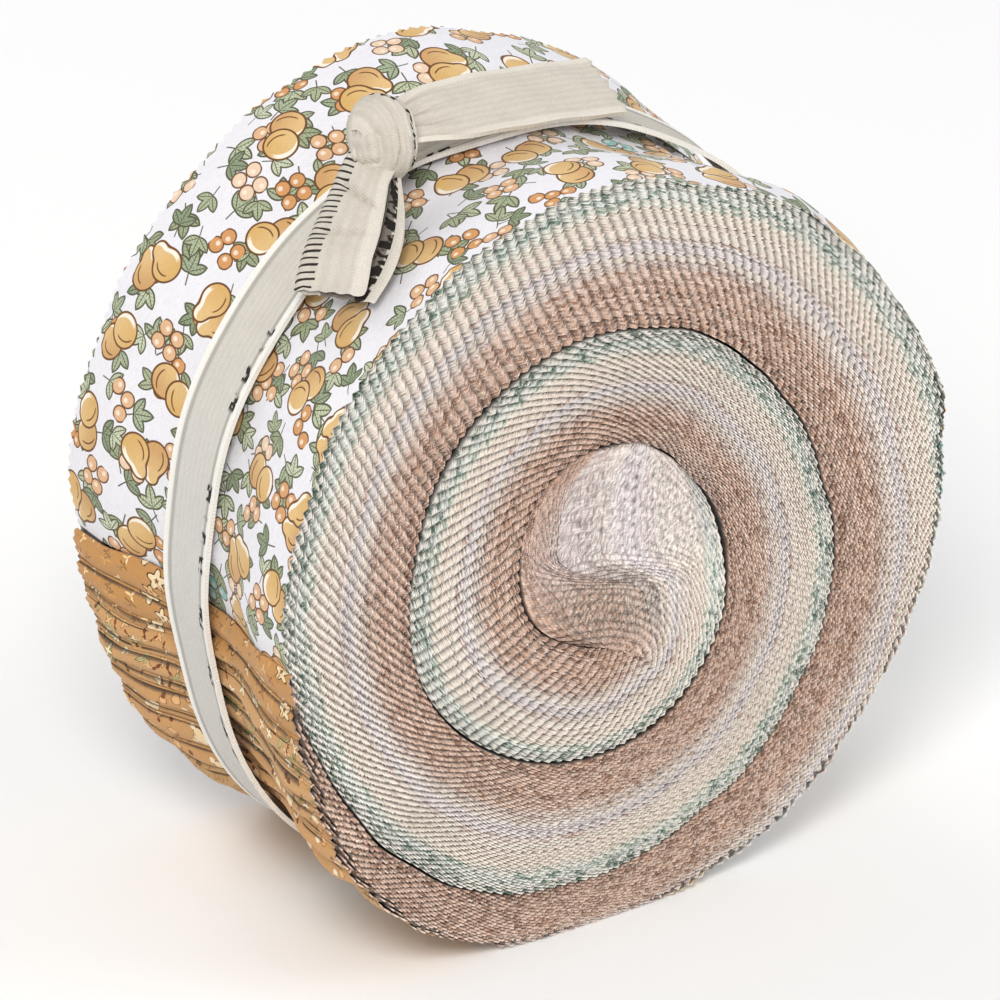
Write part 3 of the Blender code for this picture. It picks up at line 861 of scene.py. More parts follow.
def makePlaceGroup():
    # the nearest motif's own place, in shares of a cell and turned at random, and its numbers
    group, given, made = newGroup(
        "Motif place", (("Place", "Vector", None), ("Cell", "Float", 8.0), ("Scatter", "Float", 0.5),
                        ("Seed", "Float", 0.0)),
        (("Local", "Vector"), ("Chance", "Vector"), ("Centre", "Vector")))
    flat = vectorMaths(group, "MULTIPLY", given["Place"], (1.0, 1.0, 0.0))
    angle = times(group, given["Seed"], seedSteps["turn"])
    size = maths(group, "DIVIDE", given["Cell"], 1000.0)
    scaled = vectorMaths(group, "SCALE", turned(group, flat, angle), maths(group, "DIVIDE", 1.0, size))
    shift = joinVector(group, *(times(group, given["Seed"], step) for step in seedSteps["shift"]), 0.0)
    scaled = vectorMaths(group, "ADD", scaled, shift)
    cells = group.nodes.new("ShaderNodeTexVoronoi")
    cells.voronoi_dimensions = "2D"
    give(group, scaled, cells.inputs["Vector"])
    give(group, 1.0, cells.inputs["Scale"])
    give(group, given["Scatter"], cells.inputs["Randomness"])
    off = vectorMaths(group, "MULTIPLY", vectorMaths(group, "SUBTRACT", scaled, cells.outputs["Position"]),
                      (1.0, 1.0, 0.0))
    chance = splitVector(group, cells.outputs["Color"])
    give(group, turned(group, off, times(group, chance[1], 2 * math.pi)), made["Local"])
    give(group, joinVector(group, *chance), made["Chance"])
    # the offset is turned with the cells, so it is turned back before it is taken off
    straight = turned(group, vectorMaths(group, "SCALE", off, size), angle, back=True)
    give(group, vectorMaths(group, "SUBTRACT", flat, straight), made["Centre"])
    return group


motifShape = {"soft": (0.0, 0.012), "rib": (0.05, 0.14, 1.0, 0.0)}


def makeMotifGroup():
    # One printed motif: a disc, a flower of round petals or a star of pointed leaves
    group, given, made = newGroup(
        "Printed motif",
        (("Local", "Vector", None), ("Chance", "Vector", None), ("Petals", "Float", 5.0),
         ("Reach", "Float", 0.4), ("Depth", "Float", 0.5), ("Point", "Float", 2.0), ("Keep", "Float", 1.0),
         ("Vary", "Float", 0.2), ("Line", "Float", 0.03)),
        (("Fill", "Float"), ("Rim", "Float"), ("Inward", "Float"), ("Rib", "Float")))
    local, chance = splitVector(group, given["Local"]), splitVector(group, given["Chance"])
    radius = vectorMaths(group, "LENGTH", given["Local"])
    angle = maths(group, "ARCTAN2", local[1], local[0])
    half = times(group, angle, times(group, given["Petals"], 0.5))
    fan = maths(group, "ABSOLUTE", maths(group, "SINE", half))
    dent = times(group, maths(group, "POWER", fan, given["Point"]), given["Depth"])
    smaller = times(group, chance[2], given["Vary"])
    size = times(group, given["Reach"], maths(group, "SUBTRACT", 1.0, smaller))
    edge = times(group, size, maths(group, "SUBTRACT", 1.0, dent))
    depth = maths(group, "SUBTRACT", edge, radius)
    kept = maths(group, "LESS_THAN", chance[0], given["Keep"])
    give(group, times(group, ramp(group, depth, *motifShape["soft"]), kept), made["Fill"])
    outside = maths(group, "ADD", depth, given["Line"])
    give(group, times(group, ramp(group, outside, *motifShape["soft"]), kept), made["Rim"])
    inward = maths(group, "DIVIDE", radius, maths(group, "MAXIMUM", edge, 0.001))
    give(group, inward, made["Inward"])
    give(group, ramp(group, times(group, fan, inward), *motifShape["rib"]), made["Rib"])
    return group


# drawn leaves and fruit, in shares of a cell
spray = {
    "long": 0.41, "wide": 0.185, "sideLong": 0.36, "sideWide": 0.165, "spread": 56.0,
    "rib": (0.007, 0.013, 1.0, 0.0), "veinSlant": -0.8, "veinPitch": 0.036,
    "vein": (0.004, 0.009, 0.75, 0.0), "inked": (0.008, 0.016), "fill": (0.0, 0.010), "rim": (-0.036, -0.026),
    "stalkLean": 0.22, "stalkWide": (0.010, 0.018, 1.0, 0.0), "stalkReach": (-0.26, 0.0),
}


def leafDepth(tree, local, long, wide, turn):
    # depth inside a pointed leaf that grows from the middle, and its rib and veins
    half, girth = long / 2, wide / 2
    bow = (half * half + girth * girth) / (2 * girth)
    sine, cosine = math.sin(math.radians(turn)), math.cos(math.radians(turn))
    along = vectorMaths(tree, "DOT_PRODUCT", local, (sine, cosine, 0.0))
    aside = maths(tree, "ABSOLUTE", vectorMaths(tree, "DOT_PRODUCT", local, (cosine, -sine, 0.0)))
    offset = joinVector(tree, maths(tree, "ADD", aside, bow - girth), along, 0.0)
    depth = maths(tree, "SUBTRACT", bow, vectorMaths(tree, "DISTANCE", offset, (0.0, half, 0.0)))
    rib = ramp(tree, aside, *spray["rib"])
    slant = maths(tree, "MULTIPLY_ADD", aside, spray["veinSlant"], along)
    vein = ramp(tree, maths(tree, "PINGPONG", slant, spray["veinPitch"]), *spray["vein"])
    inked = times(tree, maths(tree, "MAXIMUM", rib, vein), ramp(tree, depth, *spray["inked"]))
    return depth, inked


def makeSprayGroup():
    # three pointed leaves with ribs on a short stalk
    group, given, made = newGroup("Leaf spray", (("Local", "Vector", None),),
                                  (("Fill", "Float"), ("Rim", "Float"), ("Ink", "Float")))
    parts = splitVector(group, given["Local"])
    mirrored = joinVector(group, maths(group, "ABSOLUTE", parts[0]), parts[1], 0.0)
    middle, middleInk = leafDepth(group, given["Local"], spray["long"], spray["wide"], 0.0)
    side, sideInk = leafDepth(group, mirrored, spray["sideLong"], spray["sideWide"], spray["spread"])
    depth = maths(group, "MAXIMUM", middle, side)
    aside = maths(group, "MULTIPLY_ADD", parts[1], spray["stalkLean"], parts[0])
    stalk = times(group, ramp(group, maths(group, "ABSOLUTE", aside), *spray["stalkWide"]),
                  between(group, parts[1], *spray["stalkReach"]))
    give(group, ramp(group, depth, *spray["fill"]), made["Fill"])
    give(group, maths(group, "MAXIMUM", ramp(group, depth, *spray["rim"]), stalk), made["Rim"])
    give(group, maths(group, "MAXIMUM", middleInk, sideInk), made["Ink"])
    return group


fruitShape = {
    "body": (0.0, -0.075, 0.0), "bodyRadius": 0.19, "neck": (0.015, 0.155, 0.0), "neckRadius": 0.095,
    "round": (0.0, -0.02, 0.0), "roundRadius": 0.195, "blend": 0.15,
    "fill": (0.0, 0.008), "rim": (-0.024, -0.016),
    # the arc and the shine lie where the same fruit, shifted so far, has its edge
    "arcShift": (-0.075, -0.012, 0.0), "arc": (0.006, 0.012, 1.0, 0.0), "arcInside": (0.01, 0.02),
    "arcLow": (-0.20, -0.16), "arcHigh": (0.02, 0.07, 1.0, 0.0), "arcSide": (-0.02, 0.0, 1.0, 0.0),
    "shineShift": (0.062, 0.0, 0.0), "shine": (-0.004, 0.004, 1.0, 0.0), "shineInside": (0.006, 0.012),
    "shineLow": (-0.16, -0.08),
}


def fruitDepth(tree, local, long):
    def disc(middle, radius):
        return maths(tree, "SUBTRACT", radius, vectorMaths(tree, "DISTANCE", local, middle))
    pear = maths(tree, "SMOOTH_MAX", disc(fruitShape["body"], fruitShape["bodyRadius"]),
                 disc(fruitShape["neck"], fruitShape["neckRadius"]), fruitShape["blend"])
    peach = disc(fruitShape["round"], fruitShape["roundRadius"])
    return maths(tree, "MULTIPLY_ADD", maths(tree, "SUBTRACT", pear, peach), long, peach)


def makeFruitGroup():
    # a drawn fruit: round where Long is 0 and pear-shaped where it is 1, with an inked arc and a shine
    group, given, made = newGroup("Drawn fruit", (("Local", "Vector", None), ("Long", "Float", 0.0)),
                                  (("Fill", "Float"), ("Rim", "Float"), ("Arc", "Float"), ("Shine", "Float")))
    depth, left, right = (
        fruitDepth(group, vectorMaths(group, "ADD", given["Local"], shift), given["Long"])
        for shift in ((0.0, 0.0, 0.0), fruitShape["arcShift"], fruitShape["shineShift"]))
    parts = splitVector(group, given["Local"])
    give(group, ramp(group, depth, *fruitShape["fill"]), made["Fill"])
    give(group, ramp(group, depth, *fruitShape["rim"]), made["Rim"])
    arc = times(group, ramp(group, maths(group, "ABSOLUTE", left), *fruitShape["arc"]),
                ramp(group, parts[1], *fruitShape["arcLow"]), ramp(group, parts[1], *fruitShape["arcHigh"]),
                ramp(group, parts[0], *fruitShape["arcSide"]), ramp(group, depth, *fruitShape["arcInside"]))
    give(group, arc, made["Arc"])
    shine = times(group, ramp(group, right, *fruitShape["shine"]),
                  ramp(group, depth, *fruitShape["shineInside"]),
                  ramp(group, parts[1], *fruitShape["shineLow"]))
    give(group, shine, made["Shine"])
    return group


weaveLooks = {"slub": (900.0, 2600.0, 1.0), "height": 0.75, "slubShade": 0.16, "shade": (0.06, 0.88)}


def makeWeaveGroup():
    group, given, made = newGroup(
        "Plain weave", (("Place", "Vector", None), ("Threads", "Float", 2.6)),
        (("Height", "Float"), ("Shade", "Float")))
    turns = times(group, given["Threads"], 1000 * math.pi)  # threads per millimetre
    place = splitVector(group, given["Place"])
    warp = maths(group, "SINE", times(group, place[0], turns))
    weft = maths(group, "SINE", times(group, place[1], turns))
    over = maths(group, "MULTIPLY_ADD", times(group, warp, weft), 0.5, 0.5)
    slub = noise(group, vectorMaths(group, "MULTIPLY", given["Place"], weaveLooks["slub"]), 1.0, 1.0)
    give(group, times(group, over, weaveLooks["height"]), made["Height"])
    shade = maths(group, "MULTIPLY_ADD", over, *weaveLooks["shade"])
    give(group, maths(group, "MULTIPLY_ADD", slub, weaveLooks["slubShade"], shade), made["Shade"])
    return group


# rates are per metre along the strip, and across it for the second one
fray = {
    "streakRate": 420.0, "streakFrom": 0.72, "streakTo": 0.92,
    "hairRates": (5200.0, 1500.0), "pale": (0.48, 0.68), "paleColour": "f6f1ea",
    "toneRate": 30.0, "tone": (0.34, 0.83),
    "deep": (0.0312, 0.0318),   # from the roll's middle: how far down between the teeth the painted shade reaches
    "pressed": (0.36, 0.62, -0.34, 0.14),
}
coreGrain = {
    "middle": (0.0008, 0.0, 0.0655), "reach": (0.0125, 0.020),
    "ways": ((1900.0, 0.0, -1300.0), (350.0, 0.0, 500.0)),  # across the grain and along it, per metre
    "upper": (0.057, 0.065), "upperTint": "c8bcc2", "upperShare": 0.36,  # the greyer part over the fold
}


def makeFrayGroup():
    # The cut, pinked edge: pale thread ends, with streaks of the print that was cut through
    group, given, made = newGroup(
        "Frayed edge",
        (("Place", "Vector", None), ("Point", "Vector", None), ("Edge", "Color", None),
         ("Streak", "Color", None), ("Core", "Float", 1.0), ("Streaks", "Float", 0.4),
         ("Pale", "Float", 0.35), ("Dark", "Float", 0.5)),
        (("Colour", "Color"),))
    place = splitVector(group, given["Place"])
    layer = times(group, place[2], 5.37)
    streaks = joinVector(group, times(group, place[0], fray["streakRate"]), layer, 0.0)
    low, high = (maths(group, "SUBTRACT", fray[end], given["Streaks"]) for end in ("streakFrom", "streakTo"))
    mask = ramp(group, noise(group, streaks, 1.0, 2.0, flat=True), low, high)
    # at the core the teeth are pressed into a fine slanted grain
    point = vectorMaths(group, "MULTIPLY", given["Point"], (1.0, 0.0, 1.0))
    away = vectorMaths(group, "DISTANCE", point, coreGrain["middle"])
    core = ramp(group, away, *coreGrain["reach"], 1.0, 0.0)
    mask = times(group, mask, maths(group, "MULTIPLY_ADD", core, -0.8, 1.0))
    across, along = (vectorMaths(group, "DOT_PRODUCT", point, way) for way in coreGrain["ways"])
    grain = noise(group, joinVector(group, across, along, 0.0), 1.0, 1.0, 0.6, flat=True)
    colour = mixColour(group, mask, given["Edge"], given["Streak"])
    along, across = (times(group, place[i], fray["hairRates"][i]) for i in (0, 1))
    threads = joinVector(group, along, layer, across)
    hair = noise(group, threads, 1.0, 1.0, 0.7)
    height = splitVector(group, given["Point"])[2]
    upper = times(group, core, ramp(group, height, *coreGrain["upper"]))
    colour = mixColour(group, times(group, upper, coreGrain["upperShare"]), colour, coreGrain["upperTint"])
    pale = times(group, ramp(group, hair, *fray["pale"]), given["Pale"])
    colour = mixColour(group, pale, colour, fray["paleColour"])
    slow = joinVector(group, layer, times(group, place[0], fray["toneRate"]), 0.0)
    shade = maths(group, "MULTIPLY_ADD", noise(group, slow, 1.0, 1.0, flat=True), *fray["tone"])
    # painted shade: the edge gets darker down in the valleys between the teeth
    deep = ramp(group, maths(group, "ABSOLUTE", place[1]), *fray["deep"], given["Dark"], 1.0)
    shade = times(group, shade, deep)
    lighter = maths(group, "MULTIPLY_ADD", given["Core"], -0.7, 0.7)
    level = maths(group, "MULTIPLY_ADD", upper, lighter, given["Core"])
    low, high, darker, paler = fray["pressed"]
    pressed = ramp(group, grain, low, high, maths(group, "ADD", level, darker),
                   maths(group, "ADD", level, paler))
    shade = mixColour(group, core, shade, times(group, shade, pressed))
    give(group, shaded(group, colour, shade), made["Colour"])
    return group


# cell, scatter, petals, reach, depth, point, keep, vary, seed, line, line colour, fill, other fill, heart
# dark: how bright the painted shade leaves the cut edge at the bottom of the valleys between its teeth
printLooks = {
    "fruit": {
        "ground": "e5e3e7", "edge": "e6e2d9", "streak": "56705f", "streaks": 0.24, "dark": 0.50,
        "wall": (0.0302, 0.0317, 0.92), "orchard": True, "motifs": ()},
    "greenLeaf": {
        "ground": "eef0ee", "edge": "dfe0d9", "streak": "64806f", "streaks": 0.24, "dark": 0.52,
        "motifs": (
            (7.0, 0.8, 4, 0.47, 0.95, 0.8, 0.85, 0.2, 1.2, 0.0, None, "5f9b7c", "8fc0a4", None),
            (8.5, 0.8, 5, 0.36, 0.45, 2.0, 0.4, 0.2, 2.2, 0.0, None, "8cc8c0", "a9d9d2", "5c7f66"),
        )},
    "greenFloral": {
        "ground": "f0efe8", "edge": "e4dfd4", "streak": "8da392", "streaks": 0.22, "dark": 0.52,
        "motifs": (
            (6.0, 0.8, 3, 0.47, 0.95, 0.8, 0.7, 0.2, 1.4, 0.0, None, "7fae86", "a8c9a0", None),
            (7.5, 0.8, 5, 0.34, 0.45, 2.0, 0.35, 0.2, 2.4, 0.0, None, "e0a466", "9fd0c8", "b06a35"),
        )},
    "creamFloral": {
        "ground": "f1eade", "edge": "e5dacd", "streak": "c6b9a6", "streaks": 0.16, "dark": 0.52,
        "motifs": (
            (8.5, 0.8, 4, 0.44, 0.95, 0.8, 0.4, 0.2, 1.6, 0.0, None, "8fae80", "b5c79a", None),
            (7.0, 0.8, 5, 0.30, 0.45, 2.0, 0.4, 0.2, 2.6, 0.0, None, "d8935c", "e6b483", "a3602f"),
        )},
    "pinkDot": {
        "ground": "f5e9e1", "edge": "e5d8cd", "streak": "d0b6a9", "streaks": 0.14, "dark": 0.52,
        "motifs": ((4.2, 0.2, 0, 0.17, 0.0, 2.0, 1.0, 0.2, 1.8, 0.0, None, "e6bda5", "e9c6b0", None),)},
    "beige": {
        "ground": "e9e0cc", "edge": "e3d9cd", "streak": "c5b8a4", "streaks": 0.15, "dark": 0.52,
        "motifs": ((9.0, 0.8, 5, 0.46, 0.5, 1.6, 0.8, 0.2, 2.1, 0.0, None, "f4eee0", "f1ead9", "ded2b8"),)},
    "plaid": {
        "ground": "f1ebe6", "edge": "e0d3ca", "streak": "b89b8b", "streaks": 0.20, "dark": 0.52,
        "plaid": "c08a66", "motifs": ()},
    "lattice": {
        "ground": "efefee", "edge": "ded5d2", "streak": "b3a9ad", "streaks": 0.20, "dark": 0.52,
        "lattice": "b4b6b2",
        "motifs": ((9.0, 0.0, 5, 0.20, 0.45, 2.0, 1.0, 0.1, 1.5, 0.0, None, "c49a5c", "cfa66a", "8a6234"),)},
    "goldFlower": {
        "ground": "f3f1ee", "edge": "ded5d2", "streak": "b9aaa0", "streaks": 0.18, "dark": 0.52,
        "motifs": ((6.5, 0.6, 5, 0.27, 0.45, 2.0, 1.0, 0.15, 2.3, 0.0, None, "c19a63", "ceaa76", "7f5a2f"),)},
    "tanFlower": {
        "ground": "dfc9a4", "edge": "dfd2c7", "streak": "bfab96", "streaks": 0.18, "dark": 0.52,
        "motifs": (
            (6.2, 0.75, 5, 0.42, 0.45, 2.0, 0.95, 0.25, 2.5, 0.03, "a9855a", "f4ecdf", "efe5d3", "c69b66"),
        )},
    "leaf": {
        "ground": "ead9cc", "edge": "d6c5bb", "streak": "a08279", "streaks": 0.24, "dark": 0.52, "core": 0.71,
        "motifs": (
            (7.5, 0.8, 4, 0.47, 0.95, 0.8, 0.9, 0.2, 2.7, 0.0, None, "8a4a3f", "a8695a", None),
            (5.5, 0.8, 2, 0.44, 0.95, 0.8, 0.5, 0.2, 3.7, 0.0, None, "6f3a33", "b98775", None),
        )},
    "brownFlower": {
        "ground": "c79f6b", "edge": "d9bfae", "streak": "a37f69", "streaks": 0.26, "dark": 0.52, "core": 0.71,
        "motifs": (
            (7.0, 0.7, 8, 0.44, 0.30, 1.2, 0.85, 0.25, 2.9, 0.03, "8a5a2e", "d0a26a", "c79a5f", "8f602f"),
            (4.0, 0.8, 3, 0.42, 0.9, 0.9, 0.6, 0.2, 3.9, 0.03, "8a5a2e", "d8b07c", "c4935c", None),
        )},
    "rustDot": {
        "ground": "c99862", "edge": "d3b39f", "streak": "9a745d", "streaks": 0.28, "dark": 0.52, "core": 0.71,
        "motifs": (
            (4.2, 0.8, 0, 0.32, 0.0, 2.0, 0.9, 0.5, 3.1, 0.03, "6e3a18", "f2d6a8", "e4b37c", None),
            (2.6, 0.8, 0, 0.22, 0.0, 2.0, 0.6, 0.3, 4.1, 0.0, None, "f5e2c0", "7a3d18", None),
        )},
    "orangeSprig": {
        "ground": "ca9c68", "edge": "d4b5a1", "streak": "9d7a64", "streaks": 0.28, "dark": 0.52, "core": 0.71,
        "motifs": (
            (5.6, 0.7, 3, 0.46, 0.95, 0.9, 0.7, 0.2, 3.3, 0.05, "6b4a20", "a3a65c", "c9c68a", None),
            (3.6, 0.7, 4, 0.34, 0.7, 1.2, 0.8, 0.2, 4.3, 0.04, "6b4a20", "f4e2bc", "e4b580", None),
            (3.0, 0.8, 2, 0.44, 0.95, 0.9, 0.6, 0.2, 5.3, 0.0, None, "75421c", "8f5528", None),
        )},
    "darkFloral": {
        "ground": "bf8d55", "edge": "cfab95", "streak": "8f6c58", "streaks": 0.30, "dark": 0.52, "core": 0.71,
        "wall": (0.0302, 0.0317, 0.92),
        "motifs": (
            (5.0, 0.8, 5, 0.40, 0.45, 2.0, 0.55, 0.4, 3.5, 0.06, "5c3413", "ead6ae", "dfb47a", "8a5526"),
            (3.6, 0.8, 4, 0.44, 0.95, 0.9, 0.7, 0.2, 4.5, 0.0, None, "d39c5c", "7d4a1d", None),
            (2.8, 0.8, 3, 0.42, 0.9, 0.9, 0.65, 0.2, 5.5, 0.0, None, "efcf9c", "65370f", None),
        )},
}


def newMaterial(name):
    paint = bpy.data.materials.new(name)
    paint.use_nodes = True
    return paint, paint.node_tree, paint.node_tree.nodes["Principled BSDF"]


def clothPlace(tree):
    node = tree.nodes.new("ShaderNodeAttribute")
    node.attribute_name = "cloth"
    return node.outputs["Vector"]


def placeMotif(tree, place, groups, cell, scatter, seed):
    return useGroup(tree, groups["place"], Place=place, Cell=cell, Scatter=scatter, Seed=seed)


motifTones = {"other": (0.35, 0.65), "leafDepth": 0.8, "rib": 0.55, "heart": (0.22, 0.32, 1.0, 0.0)}


def addMotif(tree, place, colour, motif, groups):
    cell, scatter, petals, reach, depth, point, keep, vary, seed, line, lineColour, fill, other, heart = motif
    spot = placeMotif(tree, place, groups, cell, scatter, seed)
    got = useGroup(tree, groups["motif"], Local=spot["Local"], Chance=spot["Chance"], Petals=float(petals),
                   Reach=reach, Depth=depth, Point=point, Keep=keep, Vary=vary, Line=line)
    if lineColour:
        colour = mixColour(tree, got["Rim"], colour, lineColour)
    kind = ramp(tree, splitVector(tree, spot["Chance"])[2], *motifTones["other"])
    paint = mixColour(tree, kind, fill, other)
    if depth > motifTones["leafDepth"]:  # leaves have a darker rib
        paint = mixColour(tree, times(tree, got["Rib"], motifTones["rib"]), paint, lineColour or fill)
    if heart:
        paint = mixColour(tree, ramp(tree, got["Inward"], *motifTones["heart"]), paint, heart)
    return mixColour(tree, got["Fill"], colour, paint)


# cell, scatter, seed, share kept, ink, two greens
orchardSprays = (
    (9.2, 0.28, 1.0, 0.90, "5a573f", "9aa684", "bcc5a5"),
    (8.4, 0.28, 6.0, 0.80, "54553f", "8b997b", "abb698"),
    (7.6, 0.28, 9.0, 0.50, "5a573f", "acb696", "cad1b5"),
)
orchard = {
    "berryCell": 2.75, "berryScatter": 0.22, "berryRadius": 0.40, "berryLine": 0.10,
    "berryInk": "6d4a2e", "berryHeart": "f2e3d0", "heartPlace": (0.10, 0.10, 0.0),
    # the colour of a cluster's berries, and the share of clusters from which on it takes over
    "berryFills": (("dbb088", 0.30, 0.34), ("cf9660", 0.66, 0.70), ("8fc5bf", 0.93, 0.94)),
    "paleBerry": "e6c9ae", "clusterCell": 11.0, "clusterScatter": 0.45, "clusterReach": 0.27,
    "fruitCell": 14.0, "fruitScatter": 0.20, "fruitInk": "6a4425", "fruitKept": 0.92, "longFruit": 0.55,
    "fruitFills": ("d3aa6a", "c99c68", "dcb981"), "shine": "f3ede2",
    "frontPlace": (0.06, -0.03, 0.0), "backPlace": (-0.17, 0.08, 0.0), "backTurn": 0.55,
    "otherGreen": (0.3, 0.7), "heartReach": (0.10, 0.20, 0.8, 0.0), "soft": 0.04,
    "lighter": (-0.25, 0.2), "shineShare": 0.9,
}


def layOn(tree, colour, got, kept, ink, paint):  # a motif's inked rim and its fill, where it is kept
    colour = mixColour(tree, times(tree, got["Rim"], kept), colour, ink)
    return mixColour(tree, times(tree, got["Fill"], kept), colour, paint)


def paintOrchard(tree, place, colour, groups):  # leaf sprays, berry clusters, pears and peaches
    for cell, scatter, seed, share, ink, dark, light in orchardSprays:
        spot = placeMotif(tree, place, groups, cell, scatter, seed)
        got = useGroup(tree, groups["spray"], Local=spot["Local"])
        parts = splitVector(tree, spot["Chance"])
        kept = maths(tree, "LESS_THAN", parts[0], share)
        paint = mixColour(tree, ramp(tree, parts[2], *orchard["otherGreen"]), dark, light)
        paint = mixColour(tree, got["Ink"], paint, ink)
        colour = layOn(tree, colour, got, kept, ink, paint)
    spot = placeMotif(tree, place, groups, orchard["berryCell"], orchard["berryScatter"], 3.0)
    cluster = placeMotif(tree, spot["Centre"], groups, orchard["clusterCell"], orchard["clusterScatter"], 4.0)
    around = vectorMaths(tree, "LENGTH", cluster["Local"])
    inCluster = maths(tree, "LESS_THAN", around, orchard["clusterReach"])
    kind = splitVector(tree, cluster["Chance"])[2]
    paint = orchard["paleBerry"]
    for fill, low, high in orchard["berryFills"]:
        paint = mixColour(tree, ramp(tree, kind, low, high), paint, fill)
    heart = vectorMaths(tree, "DISTANCE", spot["Local"], orchard["heartPlace"])
    paint = mixColour(tree, ramp(tree, heart, *orchard["heartReach"]), paint, orchard["berryHeart"])
    reach, radius = vectorMaths(tree, "LENGTH", spot["Local"]), orchard["berryRadius"]
    for edge, fill in ((radius + orchard["berryLine"], orchard["berryInk"]), (radius, paint)):
        mask = times(tree, ramp(tree, reach, edge, edge + orchard["soft"], 1.0, 0.0), inCluster)
        colour = mixColour(tree, mask, colour, fill)
    spot = placeMotif(tree, place, groups, orchard["fruitCell"], orchard["fruitScatter"], 5.0)
    parts = splitVector(tree, spot["Chance"])
    long = maths(tree, "LESS_THAN", parts[2], orchard["longFruit"])
    kept = maths(tree, "LESS_THAN", parts[0], orchard["fruitKept"])
    gold, tan, light = orchard["fruitFills"]
    back = vectorMaths(tree, "SUBTRACT", spot["Local"], orchard["backPlace"])
    front = vectorMaths(tree, "SUBTRACT", spot["Local"], orchard["frontPlace"])
    for local, fill in ((turned(tree, back, orchard["backTurn"]), tan), (front, gold)):
        got = useGroup(tree, groups["fruit"], Local=local, Long=long)
        paint = mixColour(tree, ramp(tree, splitVector(tree, local)[1], *orchard["lighter"]), fill, light)
        paint = mixColour(tree, times(tree, got["Shine"], orchard["shineShare"]), paint, orchard["shine"])
        paint = mixColour(tree, got["Arc"], paint, orchard["fruitInk"])
        colour = layOn(tree, colour, got, kept, orchard["fruitInk"], paint)
    return colour


# y in metres, from the roll's middle to its faces
finish = {
    "cutFrom": 0.0305,          # beyond this a face of the mesh is the pinked edge
    "nearFace": (0.0292, 0.0298), "facing": (0.30, 0.45),
    "wall": (0.0296, 0.0312, 0.8), "wallColour": "1c1512",  # where the layers' sides lie in shade
    # crease: how the painted shade in the crease at a strip's start on the tread follows the fraction of the
    # cloth's number
    "crease": (0.26, 0.75, 0.0, 0.8), "threads": 2.6, "tapeThreads": 3.4, "pale": 0.55, "core": 0.99,
    "cotton": {"Roughness": 0.92, "Specular IOR Level": 0.25, "Sheen Weight": 0.12, "Sheen Roughness": 0.5},
    "tape": {"Roughness": 0.9, "Specular IOR Level": 0.25},
    "cottonBump": (0.5, 0.00012), "tapeBump": (0.6, 0.00015),
}


def finishShader(tree, shader, colour, values, height, strength, depth):
    give(tree, colour, shader.inputs["Base Color"])
    for label, value in values.items():
        shader.inputs[label].default_value = value
    bump = tree.nodes.new("ShaderNodeBump")
    bump.inputs["Strength"].default_value = strength
    bump.inputs["Distance"].default_value = depth
    give(tree, height, bump.inputs["Height"])
    give(tree, bump.outputs[0], shader.inputs["Normal"])


# the plaid's and the lattice's slanted lines and bands, in metres, and how strong they are
crossing = {"pitch": 0.0045, "line": (0.0004, 0.0006, 1.0, 0.0), "lineShare": 0.8,
            "band": (0.0028, 0.0030), "bandShare": 0.35}


def printColour(tree, place, parts, look, groups):
    colour = look["ground"]
    ink = look.get("plaid") or look.get("lattice")
    for turn in (1.0, -1.0) if ink else ():
        slant = maths(tree, "MULTIPLY_ADD", parts[1], turn, parts[0])
        wave = maths(tree, "PINGPONG", slant, crossing["pitch"])
        line = times(tree, ramp(tree, wave, *crossing["line"]), crossing["lineShare"])
        colour = mixColour(tree, line, colour, ink)
        if "plaid" in look:
            band = times(tree, ramp(tree, wave, *crossing["band"]), crossing["bandShare"])
            colour = mixColour(tree, band, colour, ink)
    if "orchard" in look:
        colour = paintOrchard(tree, place, colour, groups)
    for motif in look["motifs"]:
        colour = addMotif(tree, place, colour, motif, groups)
    return colour


def makeCotton(name, look, groups, printed):  # the printed cloth, or its cut edge alone, which renders faster
    paint, tree, shader = newMaterial(("print_" if printed else "cut_") + name)
    place = clothPlace(tree)
    parts = splitVector(tree, place)
    weave = useGroup(tree, groups["weave"], Place=place, Threads=finish["threads"])
    point = tree.nodes.new("ShaderNodeTexCoord").outputs["Object"]
    got = useGroup(tree, groups["fray"], Place=place, Point=point, Edge=look["edge"], Streak=look["streak"],
                   Core=look.get("core", finish["core"]), Streaks=look["streaks"], Pale=finish["pale"],
                   Dark=look["dark"])
    colour = got["Colour"]
    hidden = maths(tree, "LESS_THAN", parts[2], treadNumber - 0.5)
    aside = maths(tree, "ABSOLUTE", parts[1])
    if printed:
        cloth = shaded(tree, printColour(tree, place, parts, look, groups), weave["Shade"])
        # the cut edge shows on what faces sideways, and on the hidden layers' sides near the face
        surface = tree.nodes.new("ShaderNodeNewGeometry")
        facing = maths(tree, "ABSOLUTE", splitVector(tree, surface.outputs["True Normal"])[1])
        edge = maths(tree, "MAXIMUM", hidden, ramp(tree, facing, *finish["facing"]))
        cut = times(tree, ramp(tree, aside, *finish["nearFace"]), edge)
        colour = mixColour(tree, cut, cloth, colour)
    # little light reaches the sides of the layers down in a gap
    low, high, most = look.get("wall", finish["wall"])
    depth = ramp(tree, aside, low, high, most, 0.0)
    # painted shade in the crease on the tread, where a strip comes out from under the folded end before it
    crease = ramp(tree, maths(tree, "FRACT", parts[2]), *finish["crease"])
    depth = mixColour(tree, hidden, crease, depth)
    colour = mixColour(tree, depth, colour, finish["wallColour"])
    finishShader(tree, shader, colour, finish["cotton"], weave["Height"], *finish["cottonBump"])
    return paint


